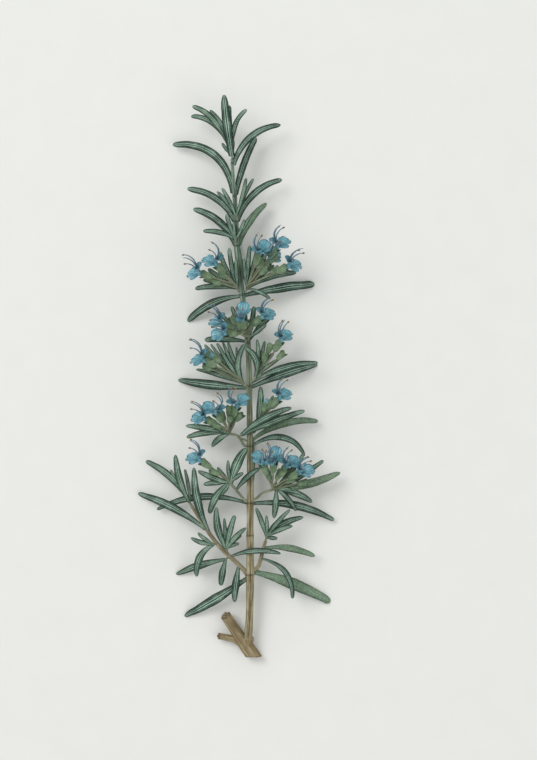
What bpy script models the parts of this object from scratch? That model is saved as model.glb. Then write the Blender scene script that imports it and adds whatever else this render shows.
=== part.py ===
"""A flowering rosemary sprig, cut with its woody heel, lying on a flat surface.

The stem runs along +Y with its growing tip at +Y. X is across the sprig and +Z is up, away from the surface.
The rows below are in millimetres; everything is built in metres.
"""

import math

import bmesh
import bpy
from mathutils import Vector

MM = 0.001
WELD = 0.00001

STEM_STEPS = 3
LEAF_STEPS = 4
LEAF_THICKNESS = 0.2
LEAF_SPACING = 0.27
PETAL_THICKNESS = 0.16

# The main stem's centre line from the old wood to the growing tip, with the radius at each point.
MAIN_STEM = [
    ((3.6, -134.0, 5.0), 2.2), ((4.6, -128.5, 6.4), 2.3), ((5.2, -119.0, 7.8), 2.1),
    ((5.5, -98.5, 10.6), 2.2), ((5.5, -79.0, 12.4), 1.9), ((5.6, -61.0, 13.4), 1.95),
    ((5.5, -36.0, 14.3), 1.75), ((5.2, -11.0, 14.8), 1.6), ((4.6, 14.0, 15.0), 1.5),
    ((2.0, 39.0, 15.0), 1.4), ((-0.5, 61.5, 15.5), 1.25), ((-1.4, 76.5, 16.0), 1.1),
    ((-2.0, 89.0, 17.0), 0.95), ((-2.8, 99.0, 18.2), 0.85), ((-3.4, 109.0, 19.6), 0.7),
]

# The old wood of the heel, which grew as one piece with the main stem: the branch from its cut to its
# snapped-off end, a snapped-off twig, and the knuckle where the main stem leaves it.
OLD_WOOD = [
    [((7.0, -140.2, 3.7), 3.6), ((3.4, -135.0, 4.2), 3.5), ((-0.2, -129.8, 4.8), 2.9),
     ((-6.8, -119.8, 5.4), 2.6)],
    [((2.0, -133.6, 4.2), 1.9), ((-3.0, -131.6, 4.2), 1.7), ((-10.3, -130.2, 4.0), 1.6)],
    [((3.4, -133.0, 5.0), 2.2), ((6.4, -130.6, 5.6), 1.5)],
]

# Side shoots: the centre line and the radius at each point.
SHOOTS = {
    "left_shoot": [
        ((2.3, -96.2, 10.9), 1.25), ((-7.0, -87.2, 11.4), 1.2), ((-13.0, -80.5, 11.9), 1.1),
        ((-19.0, -71.5, 11.9), 1.0), ((-23.8, -64.2, 11.5), 0.9),
    ],
    "right_shoot": [
        ((9.0, -95.2, 11.6), 1.15), ((10.8, -91.0, 12.0), 1.1), ((12.0, -86.0, 12.2), 1.0),
        ((13.4, -81.4, 12.4), 0.85),
    ],
}

# One row a leaf: the base, the tip, how far the middle bows to the left of the way from base to tip, how far
# it bows up, the width and the roll about its own length in degrees. At 0 the upper face looks up.
LEAVES = {
    "leaf_1_left": ((2.2, -100.2, 10.2), (-27.8, -120.6, 0.5), 0.6, 1.5, 5.2, 0),
    "leaf_1_right": ((8.6, -97.6, 9.4), (46.0, -113.3, 0.5), 1.8, 2.0, 6.0, 165),
    "leaf_1_down": ((0.2, -95.4, 13.6), (-2.2, -112.5, 11.5), -0.5, 1.0, 4.0, 0),
    "leaf_1_arch": ((12.2, -91.6, 13.8), (26.6, -110.4, 13.5), 5.4, 1.5, 3.4, 30),
    "leaf_1_light": ((13.8, -85.2, 11.4), (38.1, -89.7, 7.0), 2.0, 1.0, 4.0, 150),
    "leaf_1_cross": ((-3.3, -89.7, 13.6), (20.9, -87.6, 18.5), 2.4, 1.5, 3.4, 20),
    "leaf_left_shoot_upper": ((-15.0, -75.4, 14.2), (-22.2, -44.6, 19.0), 2.1, 0.5, 4.3, 0),
    "leaf_left_shoot_outer": ((-18.4, -75.8, 11.2), (-51.3, -58.3, 2.0), -2.1, 2.0, 4.3, 0),
    "leaf_2_left": ((3.0, -63.0, 12.2), (-41.6, -66.4, 4.0), -5.0, 0.5, 3.8, 0),
    "leaf_2_cross": ((0.2, -54.0, 17.4), (10.8, -44.6, 19.5), 1.0, 0.8, 3.2, 10),
    "leaf_2_right": ((8.2, -63.0, 12.0), (48.0, -72.0, 3.0), 3.6, 2.0, 4.3, 0),
    "leaf_3_right_arch": ((7.9, -34.2, 13.8), (33.2, -36.6, 12.0), 5.8, 2.0, 3.6, 20),
    "leaf_3_right": ((7.9, -30.4, 12.8), (39.9, -21.8, 5.0), 3.8, 1.0, 4.2, 160),
    "leaf_4_left": ((2.8, -5.0, 14.2), (-31.0, -0.9, 0.5), 0.6, 2.0, 4.9, 0),
    "leaf_4_right_up": ((7.2, -2.2, 15.4), (39.5, 7.6, 14.0), 2.6, 1.5, 3.8, 10),
    "leaf_4_right": ((7.2, -5.0, 13.2), (39.6, 6.8, 0.5), 1.0, 2.0, 4.4, 0),
    "leaf_5_left": ((2.2, 18.2, 13.8), (-17.4, 19.2, 7.0), -0.8, 1.0, 3.4, 0),
    "leaf_5_right": ((6.4, 19.2, 15.0), (17.8, 32.5, 12.0), 0.8, 1.0, 3.0, 0),
    "leaf_6_left": ((-0.2, 40.8, 13.6), (-26.2, 28.5, 0.5), -3.0, 1.5, 4.4, 0),
    "leaf_6_right": ((4.0, 42.0, 13.8), (38.1, 47.5, 0.5), 0.8, 2.5, 4.8, 0),
    "leaf_7_left": ((-2.4, 66.6, 14.8), (-23.3, 85.1, 7.0), -3.6, 1.0, 4.0, 0),
    "leaf_7_right": ((1.2, 66.8, 14.6), (13.9, 88.0, 7.0), 2.0, 1.0, 4.0, 160),
    "leaf_8_left": ((-3.1, 78.6, 15.4), (-26.1, 95.0, 9.0), -4.2, 1.0, 3.6, 0),
    "leaf_8_right": ((0.4, 78.8, 15.4), (21.3, 99.9, 9.0), 4.2, 1.0, 3.6, 0),
    "leaf_9_left": ((-4.2, 92.2, 17.0), (-33.4, 118.1, 4.0), -8.8, 2.0, 4.2, 0),
    "leaf_9_right": ((-0.4, 92.2, 16.6), (8.4, 121.0, 9.0), 1.2, 1.0, 3.6, 0),
    "leaf_10_right": ((-1.4, 106.8, 19.0), (20.7, 127.1, 12.0), 4.8, 1.5, 3.6, 0),
    "leaf_top": ((-4.0, 111.6, 21.4), (-7.3, 140.6, 22.5), 0.4, 1.5, 4.0, 0),
    "leaf_back_1": ((5.5, -59.0, 10.6), (6.4, -30.0, 0.5), 0.0, -1.0, 4.2, 180),
    "leaf_back_2": ((1.6, 43.0, 13.0), (-1.6, 71.0, 0.5), 0.0, -1.0, 3.8, 180),
}

# Leaf groups, each grown as one short shoot from a leaf's axil: the stalk's centre line and radius, then its
# leaves, which start at the stalk's end: the tip, the two bows, the width and the roll.
TUFTS = {
    "tuft_left_shoot_tip": ([((-24.1, -63.6, 11.5), 0.8), ((-24.9, -62.2, 11.4), 0.7)], [
        ((-47.1, -41.8, 5.0), -2.7, 1.5, 3.9, 10), ((-34.5, -46.0, 9.0), 0.5, 0.5, 2.0, 0),
        ((-31.7, -38.3, 17.0), 1.5, 0.5, 3.7, 5), ((-27.3, -45.7, 10.5), -0.5, 0.5, 2.0, -10)]),
    "tuft_left_shoot_side": ([((-12.0, -83.0, 13.4), 0.6), ((-12.8, -83.2, 13.7), 0.6)], [
        ((-24.2, -79.8, 12.4), 0.8, 1.0, 2.6, 0), ((-20.6, -77.2, 15.5), 0.5, 0.5, 2.2, 0),
        ((-21.2, -99.9, 9.0), -3.4, 1.5, 4.0, 15)]),
    "tuft_left_shoot_mid": ([((-6.0, -86.4, 13.3), 0.6), ((-6.6, -85.4, 13.6), 0.6)], [
        ((-11.2, -64.2, 18.0), 1.6, 0.5, 3.9, 0), ((-1.9, -68.2, 20.0), 0.5, 0.5, 3.2, 0),
        ((3.7, -74.5, 18.0), 0.8, 1.0, 2.8, 0), ((-7.4, -69.8, 15.4), 0.0, 0.6, 2.2, 0)]),
    "tuft_left_shoot_low": ([((-6.0, -90.4, 10.2), 0.6), ((-6.8, -91.0, 10.0), 0.6)], [
        ((-32.0, -99.5, 0.5), -1.0, 1.0, 4.0, 0), ((-9.2, -104.9, 4.5), -0.5, 1.0, 3.6, 0)]),
    "tuft_right_shoot": ([((13.5, -80.2, 12.7), 0.6), ((13.8, -79.2, 13.0), 0.6)], [
        ((32.2, -69.7, 13.5), 1.8, 1.0, 3.7, 10), ((26.9, -73.8, 16.0), 0.8, 1.0, 2.8, 0),
        ((8.4, -64.6, 18.0), -0.4, 0.5, 2.6, 0), ((25.5, -65.3, 19.0), 0.6, 0.5, 2.6, 0),
        ((19.4, -80.6, 11.0), 0.3, 0.4, 2.2, 0)]),
    "tuft_2_left": ([((2.6, -60.8, 14.4), 0.8), ((-1.4, -56.0, 15.3), 0.75), ((-4.6, -52.0, 16.2), 0.7)], [
        ((-14.8, -68.1, 10.0), -1.9, 1.0, 3.8, 0), ((-18.0, -53.4, 13.0), -0.6, 0.8, 2.9, 0),
        ((-20.5, -46.4, 15.0), 0.5, 0.8, 3.4, 0), ((-5.4, -40.8, 18.0), 0.4, 0.4, 2.2, 0),
        ((4.2, -34.8, 21.0), 1.4, 0.5, 5.0, 0)]),
    "tuft_2_right": ([((8.6, -60.2, 14.4), 0.8), ((12.0, -57.2, 15.0), 0.75), ((18.6, -55.4, 15.6), 0.7)], [
        ((17.4, -70.3, 13.0), 0.4, 0.8, 3.5, 0), ((26.9, -64.6, 12.5), 1.2, 0.8, 2.8, 0),
        ((36.7, -62.5, 9.0), 1.5, 1.0, 3.8, 0), ((50.8, -47.4, 8.0), -1.5, 2.0, 4.6, 160),
        ((42.3, -41.1, 15.0), -0.8, 0.8, 3.2, 0), ((32.5, -37.3, 18.0), -0.8, 0.8, 2.8, 0)]),
    "tuft_3_left": ([((2.4, -33.4, 14.9), 0.8), ((-0.6, -29.0, 15.4), 0.75), ((-5.0, -27.6, 16.0), 0.7)], [
        ((-26.8, -23.9, 12.0), -0.6, 1.0, 3.4, 0), ((-26.4, -29.9, 9.0), -1.6, 1.0, 3.4, 0),
        ((-13.8, -34.8, 9.5), -1.2, 1.0, 3.2, 0)]),
    "tuft_3_cross": ([((0.4, -29.8, 17.2), 0.6), ((1.0, -28.4, 17.5), 0.6)], [
        ((26.2, -14.8, 23.0), 1.8, 1.0, 4.0, 0), ((32.9, -16.2, 17.5), 0.6, 1.0, 3.8, 0)]),
    "tuft_3_right": ([((7.8, -27.0, 14.8), 0.6), ((8.6, -25.6, 15.0), 0.6)], [
        ((10.8, -4.2, 18.0), -0.8, 0.4, 3.6, 0), ((23.0, -15.0, 16.0), 0.4, 0.6, 2.8, 0)]),
    "tuft_4_left": ([((3.0, -4.0, 17.2), 0.6), ((2.0, -2.8, 17.4), 0.6)], [
        ((-21.5, 4.4, 13.0), -0.6, 0.8, 2.6, 0), ((-17.3, 16.8, 14.0), 0.6, 0.8, 2.6, 0),
        ((-11.0, 17.5, 18.0), 0.6, 0.8, 2.6, 0), ((-5.5, 18.2, 15.5), 0.6, 0.4, 2.6, 0),
        ((3.0, 16.9, 21.0), 3.4, 0.5, 3.4, 10)]),
    "tuft_4_right": ([((7.4, -0.8, 17.0), 0.6), ((8.2, 0.6, 17.2), 0.6)], [
        ((9.0, 19.4, 18.0), -1.0, 0.4, 2.6, 0), ((12.9, 18.6, 15.0), -0.4, 0.4, 2.4, 0),
        ((2.8, 15.4, 24.5), -3.4, 0.8, 3.8, -10)]),
    "tuft_5": ([((4.8, 19.2, 17.0), 0.6), ((5.0, 20.4, 17.4), 0.6)], [
        ((-3.7, 35.8, 20.0), 0.6, 0.4, 2.8, 0), ((1.6, 36.0, 22.5), 0.4, 0.4, 2.8, 0),
        ((7.5, 35.8, 19.0), -0.4, 0.4, 2.8, 0)]),
    "tuft_6_left": ([((-0.4, 43.4, 16.8), 0.6), ((-0.8, 44.6, 17.2), 0.6)], [
        ((-22.2, 44.7, 11.0), -1.2, 1.0, 3.2, 0), ((-15.6, 54.6, 16.0), 0.2, 1.0, 2.6, 0),
        ((-9.6, 63.0, 17.0), 0.8, 0.6, 2.6, 0), ((-4.8, 64.8, 20.0), 0.6, 0.6, 2.6, 0),
        ((-1.5, 59.0, 22.0), 0.2, 0.6, 2.4, 0)]),
    "tuft_6_right": ([((3.4, 43.4, 16.8), 0.6), ((4.0, 44.6, 17.2), 0.6)], [
        ((28.7, 52.5, 15.5), 2.0, 1.2, 3.4, 0), ((13.6, 61.6, 16.0), 0.0, 0.6, 2.5, 0),
        ((5.5, 65.8, 21.5), 0.2, 0.6, 2.6, 0), ((9.0, 63.7, 18.5), -0.4, 0.6, 2.6, 0)]),
    "tuft_7": ([((-1.6, 68.2, 17.6), 0.5), ((-1.8, 69.2, 18.0), 0.5)], [
        ((-18.0, 73.2, 15.5), -1.4, 1.0, 2.9, 0), ((-6.1, 81.6, 20.0), 0.4, 0.4, 2.4, 0),
        ((-2.6, 77.4, 19.0), 0.2, 0.4, 2.0, 0), ((3.0, 79.0, 18.6), -0.2, 0.4, 2.0, 0)]),
    "tuft_8": ([((-1.5, 80.0, 18.0), 0.5), ((-1.6, 81.0, 18.4), 0.5)], [
        ((-11.0, 92.9, 18.5), -0.6, 0.6, 2.2, 0), ((-8.5, 94.6, 20.0), -0.4, 0.6, 2.2, 0),
        ((3.6, 99.5, 20.0), -0.6, 0.6, 2.2, 0), ((7.3, 99.5, 17.0), 0.6, 0.6, 2.2, 0)]),
    "tuft_top": ([((-3.4, 110.0, 19.6), 0.5), ((-3.5, 110.8, 19.6), 0.5)], [
        ((-22.2, 136.4, 16.5), -3.2, 1.5, 3.2, 0), ((-23.3, 132.2, 10.0), -4.8, 1.0, 3.2, 0),
        ((-13.4, 133.6, 20.5), -1.4, 0.8, 2.4, 0), ((-4.7, 136.0, 17.0), 0.4, 0.6, 2.6, 0),
        ((2.4, 133.9, 20.5), 2.4, 0.8, 2.8, 0)]),
}

# Flower groups: the shared foot of the little stalks, then the throat of each flower.
FLOWERS = {
    "flowers_2_left": ((-6.4, -49.6, 18.6), [(-20.0, -40.4, 20.5)]),
    "flowers_2_right": ((16.6, -54.4, 18.0), [
        (11.5, -41.5, 22.0), (17.4, -40.4, 25.5), (24.4, -43.0, 21.5), (31.0, -46.4, 23.0)]),
    "flowers_3_left": ((-5.6, -25.4, 18.4), [(-17.6, -20.0, 20.0), (-12.0, -16.4, 23.5), (-0.4, -13.0, 23.0)]),
    "flowers_3_right": ((11.6, -20.0, 18.4), [(20.6, -9.4, 20.0)]),
    "flowers_4_left": ((-0.4, 0.6, 19.6), [(-18.0, 9.0, 20.0)]),
    "flowers_4_right": ((10.6, 1.6, 16.6), [(21.4, 19.6, 19.0)]),
    "flowers_5": ((1.6, 21.6, 20.0), [
        (-9.0, 27.6, 20.0), (-7.6, 22.4, 23.0), (1.8, 31.0, 26.5), (12.2, 30.8, 22.0)]),
    "flowers_6_left": ((-1.6, 46.4, 19.2), [(-20.0, 52.4, 19.5), (-12.0, 57.0, 23.0)]),
    "flowers_6_right": ((4.4, 46.2, 19.6), [
        (10.8, 62.8, 25.5), (15.6, 59.0, 19.6), (19.6, 65.6, 24.5), (25.2, 55.8, 21.5)]),
}

# Along a flower, measured back from its throat: the distance and the radius.
FLOWER_BODY = [(6.8, 0.5), (6.4, 1.1), (4.6, 1.5), (2.6, 1.5), (2.0, 1.1), (0.0, 1.8)]
STALK_RADIUS = 0.5
# The lips: where each starts and ends along and above the flower's axis, with its width.
UPPER_LIP = ((-0.8, 0.6), (2.0, 3.8), 3.0)
LOWER_LIP = ((-0.8, -0.6), (3.4, -3.6), 5.0)

COLOURS = {
    "wood": ((0.30, 0.24, 0.14, 1.0), 0.85),
    "green_stem": ((0.20, 0.24, 0.14, 1.0), 0.75),
    "leaf": ((0.09, 0.14, 0.11, 1.0), 0.6),
    "flower": ((0.10, 0.23, 0.29, 1.0), 0.55),
}


def material(name):
    colour, roughness = COLOURS[name]
    made = bpy.data.materials.get(name)
    if made is None:
        made = bpy.data.materials.new(name)
        made.use_nodes = True
        shader = made.node_tree.nodes["Principled BSDF"]
        shader.inputs["Base Color"].default_value = colour
        shader.inputs["Roughness"].default_value = roughness
        shader.inputs["Metallic"].default_value = 0.0
    return made


def section(name, thickness):
    """The lens-shaped section of a leaf or petal, one unit from its middle to its edge."""
    curve = bpy.data.curves.new(name, "CURVE")
    curve.dimensions = "2D"
    curve.fill_mode = "NONE"
    spline = curve.splines.new("POLY")
    outline = [(-1, 0), (-0.5, thickness), (0.5, thickness), (1, 0), (0.5, -thickness), (-0.5, -thickness)]
    spline.points.add(len(outline) - 1)
    for point, (x, y) in zip(spline.points, outline):
        point.co = (x * MM, y * MM, 0, 1)
    spline.use_cyclic_u = True
    guide = bpy.data.objects.new(name, curve)
    guide.hide_render = True
    guide.display_type = "WIRE"
    guides.objects.link(guide)
    return guide


def bowed(base, tip, side, rise, steps):
    """Points from base to tip on one smooth bow."""
    base, tip = Vector(base), Vector(tip)
    run = tip - base
    left = Vector((-run.y, run.x, 0)).normalized()
    middle = (base + tip) / 2 + 2 * side * left + Vector((0, 0, 2 * rise))
    points = []
    for i in range(steps + 1):
        t = i / steps
        points.append((1 - t) ** 2 * base + 2 * t * (1 - t) * middle + t * t * tip)
    return points


def directions(points):
    """The way that a line of points runs at each of them."""
    found = []
    for i, point in enumerate(points):
        before = (point - points[i - 1]).normalized() if i else Vector()
        after = (points[i + 1] - point).normalized() if i + 1 < len(points) else Vector()
        found.append((before + after).normalized())
    return found


def curve_object(name, points, radii, collection):
    curve = bpy.data.curves.new(name, "CURVE")
    curve.dimensions = "3D"
    curve.use_fill_caps = True
    spline = curve.splines.new("POLY")
    spline.points.add(len(points) - 1)
    for control, point, radius in zip(spline.points, points, radii):
        control.co = (*(Vector(point) * MM), 1)
        control.radius = radius
    made = bpy.data.objects.new(name, curve)
    collection.objects.link(made)
    return made


def tube(name, points, radii, collection, roundness=2):
    made = curve_object(name, points, radii, collection)
    made.data.bevel_depth = MM
    made.data.bevel_resolution = roundness
    return made


def blade(name, points, widths, across, profile, collection):
    """A flat tapering blade along points. across is the way that its width runs, or a roll in degrees."""
    made = curve_object(name, points, [width / 2 for width in widths], collection)
    made.data.twist_mode = "Z_UP"
    made.data.bevel_mode = "OBJECT"
    made.data.bevel_object = profile
    for control, way in zip(made.data.splines[0].points, directions(points)):
        if isinstance(across, Vector):
            level = Vector((-way.y, way.x, 0)).normalized()
            control.tilt = math.atan2(across.dot(way.cross(level)), across.dot(level))
        else:
            control.tilt = math.radians(across)
    return made


def leaf_widths(width, steps):
    """A linear leaf: a narrow foot, nearly straight sides and a blunt tip."""
    return [width * math.sin(math.pi * (0.05 + 0.87 * i / steps)) ** 0.55 for i in range(steps + 1)]


def leaf(name, base, tip, side, rise, width, roll, collection):
    points = bowed(base, tip, side, rise, LEAF_STEPS)
    return blade(name, points, leaf_widths(width, LEAF_STEPS), roll, leaf_section, collection)


def smooth(rows, steps):
    """Points and radii read from a smooth curve through rows of (point, radius)."""
    points, radii = [], []
    last = len(rows) - 1
    for i in range(last):
        a, b, c, d = (rows[max(0, min(last, i + k))] for k in (-1, 0, 1, 2))
        for step in range(steps):
            t = step / steps
            weights = (
                -t / 2 + t * t - t ** 3 / 2,
                1 - 2.5 * t * t + 1.5 * t ** 3,
                t / 2 + 2 * t * t - 1.5 * t ** 3,
                (t ** 3 - t * t) / 2,
            )
            points.append(sum((w * Vector(row[0]) for w, row in zip(weights, (a, b, c, d))), Vector()))
            radii.append(sum(w * row[1] for w, row in zip(weights, (a, b, c, d))))
    points.append(Vector(rows[-1][0]))
    radii.append(rows[-1][1])
    return points, radii


def as_mesh(curve):
    """The curve object's solid as a mesh object of the same name, with its caps welded on."""
    name, places = curve.name, list(curve.users_collection)
    mesh = bpy.data.meshes.new_from_object(curve.evaluated_get(bpy.context.evaluated_depsgraph_get()))
    work = bmesh.new()
    work.from_mesh(mesh)
    bmesh.ops.remove_doubles(work, verts=work.verts, dist=WELD)
    work.to_mesh(mesh)
    work.free()
    bpy.data.objects.remove(curve)
    mesh.name = name
    made = bpy.data.objects.new(name, mesh)
    for place in places:
        place.objects.link(made)
    return made


def grown_together(name, pieces, solver="EXACT"):
    """One solid from the pieces, which overlap where they grew from each other."""
    bpy.context.view_layer.update()
    solids = [as_mesh(piece) for piece in pieces]
    whole = solids[0]
    whole.name = name
    for other in solids[1:]:
        part.objects.unlink(other)
        guides.objects.link(other)
        other.hide_render = True
        other.display_type = "WIRE"
        join = whole.modifiers.new(other.name, "BOOLEAN")
        join.operation = "UNION"
        join.solver = solver
        join.object = other
    return whole


def main_stem():
    pieces = [tube("main_stem", *smooth(MAIN_STEM, STEM_STEPS), part)]
    for number, rows in enumerate(OLD_WOOD):
        pieces.append(tube(f"old_wood_{number}", *smooth(rows, STEM_STEPS), part))
    return grown_together("main_stem", pieces)


def tuft(name, stalk, leaves):
    pieces = [tube(name, *zip(*stalk), part, roundness=1)]
    end = Vector(stalk[-1][0])
    way = (end - Vector(stalk[-2][0])).normalized()
    for number, row in enumerate(leaves):
        pieces.append(leaf(f"{name}_{number}", end - number * LEAF_SPACING * way, *row, part))
    return grown_together(name, pieces, solver="MANIFOLD")


def flower(name, foot, throat):
    """The stalk, calyx and tube as one turned body, with an upper and a lower lip at the throat."""
    foot, throat = Vector(foot), Vector(throat)
    way = (throat - foot).normalized()
    up = Vector((0, 1, 0.4))
    up = (up - up.dot(way) * way).normalized()
    points, radii = [foot], [STALK_RADIUS]
    for back, radius in FLOWER_BODY:
        points.append(throat - back * way)
        radii.append(radius)
    pieces = [tube(name, points, radii, part, roundness=1)]
    for lip_name, (start, end, width) in (("upper", UPPER_LIP), ("lower", LOWER_LIP)):
        first = throat + start[0] * way + start[1] * up
        last = throat + end[0] * way + end[1] * up
        bow = (first + last) / 2 + 0.6 * way
        line = [first, bow, last]
        widths = [0.6 * width, width, 0.5 * width]
        pieces.append(blade(f"{name}_{lip_name}", line, widths, way.cross(up), petal_section, part))
    return pieces


def flower_group(name, foot, throats):
    pieces = []
    for number, throat in enumerate(throats):
        pieces.extend(flower(f"{name}_{number}", foot, throat))
    return grown_together(name, pieces)


def finish(made, material_name):
    made.data.materials.clear()
    made.data.materials.append(material(material_name))
    if made.type == "MESH":
        made.data.shade_smooth()


def ground(objects):
    """Moves everything so that the origin is under the middle of the sprig, at the surface it lies on."""
    bpy.context.view_layer.update()
    graph = bpy.context.evaluated_depsgraph_get()
    corners = []
    for made in objects:
        solid = made.evaluated_get(graph)
        mesh = solid.to_mesh()
        corners.extend(made.matrix_world @ vertex.co for vertex in mesh.vertices)
        solid.to_mesh_clear()
    low = [min(corner[axis] for corner in corners) for axis in range(3)]
    high = [max(corner[axis] for corner in corners) for axis in range(3)]
    shift = Vector((-(low[0] + high[0]) / 2, -(low[1] + high[1]) / 2, -low[2]))
    for made in list(part.objects) + list(guides.objects):
        made.location += shift
    bpy.context.view_layer.update()
    print("sprig size", [round(b - a, 5) for a, b in zip(low, high)], "moved by", [round(s, 6) for s in shift])


for old in list(bpy.data.objects):
    bpy.data.objects.remove(old)
part = bpy.data.collections.new("rosemary_sprig")
guides = bpy.data.collections.new("guides")
for collection in (part, guides):
    bpy.context.scene.collection.children.link(collection)
leaf_section = section("leaf_section", LEAF_THICKNESS)
petal_section = section("petal_section", PETAL_THICKNESS)

finish(main_stem(), "wood")
for shoot, rows in SHOOTS.items():
    finish(tube(shoot, *smooth(rows, STEM_STEPS), part), "green_stem")
for leaf_name, row in LEAVES.items():
    finish(leaf(leaf_name, *row, part), "leaf")
for tuft_name, (stalk, rows) in TUFTS.items():
    finish(tuft(tuft_name, stalk, rows), "leaf")
for group_name, (foot, throats) in FLOWERS.items():
    finish(flower_group(group_name, foot, throats), "flower")
ground(list(part.objects))
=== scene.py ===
"""The looks of a flowering rosemary sprig that lies on a pale floor, seen from straight above.

Lengths in the rows are millimetres, and MM turns them into metres. A leaf, a stem and a filament are each
made by a Geometry Nodes tree, and petals and calyces are sheets that are given a thickness.
"""

import math
import random

import bmesh
import bpy
from mathutils import Matrix, Vector


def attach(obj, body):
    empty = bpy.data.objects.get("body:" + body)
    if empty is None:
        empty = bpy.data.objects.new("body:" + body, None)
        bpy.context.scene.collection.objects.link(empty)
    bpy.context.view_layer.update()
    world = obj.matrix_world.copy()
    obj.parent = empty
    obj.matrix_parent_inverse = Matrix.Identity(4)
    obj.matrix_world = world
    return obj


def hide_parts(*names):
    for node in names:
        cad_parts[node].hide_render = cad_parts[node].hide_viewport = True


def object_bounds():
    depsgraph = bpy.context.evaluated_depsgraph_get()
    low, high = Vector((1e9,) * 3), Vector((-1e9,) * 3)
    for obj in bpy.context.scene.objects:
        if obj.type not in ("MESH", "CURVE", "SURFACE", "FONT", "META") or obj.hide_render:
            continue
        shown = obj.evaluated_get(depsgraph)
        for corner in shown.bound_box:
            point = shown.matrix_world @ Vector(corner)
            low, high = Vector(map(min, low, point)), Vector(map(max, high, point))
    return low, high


MM = 0.001
# The rows were written before the CAD was centred; this moves them to where it lies now.
SHIFT = Vector((0.161, 0.791, -0.077))
SEED = 7

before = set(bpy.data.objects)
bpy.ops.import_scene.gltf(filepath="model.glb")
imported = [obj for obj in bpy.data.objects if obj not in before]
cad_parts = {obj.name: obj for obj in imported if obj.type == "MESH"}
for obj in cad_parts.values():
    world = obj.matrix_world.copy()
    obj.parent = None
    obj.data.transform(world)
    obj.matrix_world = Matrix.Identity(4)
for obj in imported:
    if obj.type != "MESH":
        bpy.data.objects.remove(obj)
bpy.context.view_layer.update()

# The main stem from the old wood to the growing tip: centre line and radius.
MAIN_STEM = [
    ((3.6, -134.0, 5.0), 2.2), ((4.6, -128.5, 6.4), 2.3), ((5.2, -119.0, 7.8), 2.1),
    ((5.5, -98.5, 10.6), 2.2), ((5.5, -79.0, 12.4), 1.9), ((5.6, -61.0, 13.4), 1.95),
    ((5.5, -36.0, 14.3), 1.75), ((5.2, -11.0, 14.8), 1.6), ((4.6, 14.0, 15.0), 1.5),
    ((2.0, 39.0, 15.0), 1.45), ((-0.5, 61.5, 15.5), 1.4), ((-1.4, 76.5, 16.0), 1.3),
    ((-2.0, 89.0, 17.0), 1.2), ((-2.8, 99.0, 18.2), 1.0), ((-3.4, 109.0, 19.6), 0.75),
]
# Where the stem flares into the old wood under it.
STEM_FOOT = ((4.0, -137.5, 3.9), 2.9)
# The heights up the stem where leaves and shoots leave it. It swells there, and has a ring scar.
JOINTS = (-98.5, -78.7, -62.5, -34.0, -4.0, 17.4, 41.5, 66.0, 78.1, 90.8, 107.0)
SWELLING = 2.0
SCAR = 0.45

# The old wood that the stem grew from, and the side shoots: centre lines and radii.
OLD_WOOD = {
    "heel_branch": [
        ((11.2, -146.5, 2.9), 3.7), ((7.0, -140.2, 3.7), 3.6), ((3.4, -135.0, 4.2), 3.5),
        ((-0.2, -129.8, 4.8), 2.9), ((-6.8, -119.8, 5.4), 2.6), ((-9.4, -115.9, 5.6), 2.5)],
    "heel_twig": [
        ((3.6, -134.6, 4.2), 3.0), ((0.2, -132.8, 4.2), 2.5), ((-3.0, -131.6, 4.2), 1.8),
        ((-10.3, -130.2, 4.0), 1.6), ((-12.8, -129.7, 4.0), 1.5)],
    "heel_knuckle": [
        ((3.1, -135.6, 4.4), 0.6), ((3.4, -134.9, 4.6), 2.0), ((3.9, -133.7, 4.9), 2.7),
        ((4.6, -132.0, 5.4), 2.75), ((5.1, -130.6, 5.8), 2.45), ((5.4, -129.6, 6.0), 1.2)],
}

# Where the old wood was sawn or snapped: its wood, the middle of the end, the way the end faces, its radius,
# how ragged it is and how much wider it is than high. The wood's own rows run on past its ends.
OLD_ENDS = [
    ("heel_branch", (6.9, -140.4, 3.75), (0, -1, 0), 3.4, 0.15, 1.18),
    ("heel_branch", (-6.7, -119.9, 5.4), (-6.6, 10.0, 5.6), 2.6, 1.3, 1.0),
    ("heel_twig", (-10.2, -130.2, 4.0), (-7.3, 1.4, 3.5), 1.55, 0.7, 1.0),
]

SHOOTS = {
    "left_shoot": [
        ((2.3, -96.2, 10.9), 1.25), ((-7.0, -87.2, 11.4), 1.2), ((-13.0, -80.5, 11.9), 1.1),
        ((-19.0, -71.5, 11.9), 1.0), ((-23.8, -64.2, 11.5), 0.9)],
    "right_shoot": [
        ((9.0, -95.2, 11.6), 1.15), ((10.8, -91.0, 12.0), 1.1), ((12.0, -86.0, 12.2), 1.0),
        ((13.4, -81.4, 12.4), 0.85)],
}

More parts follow.
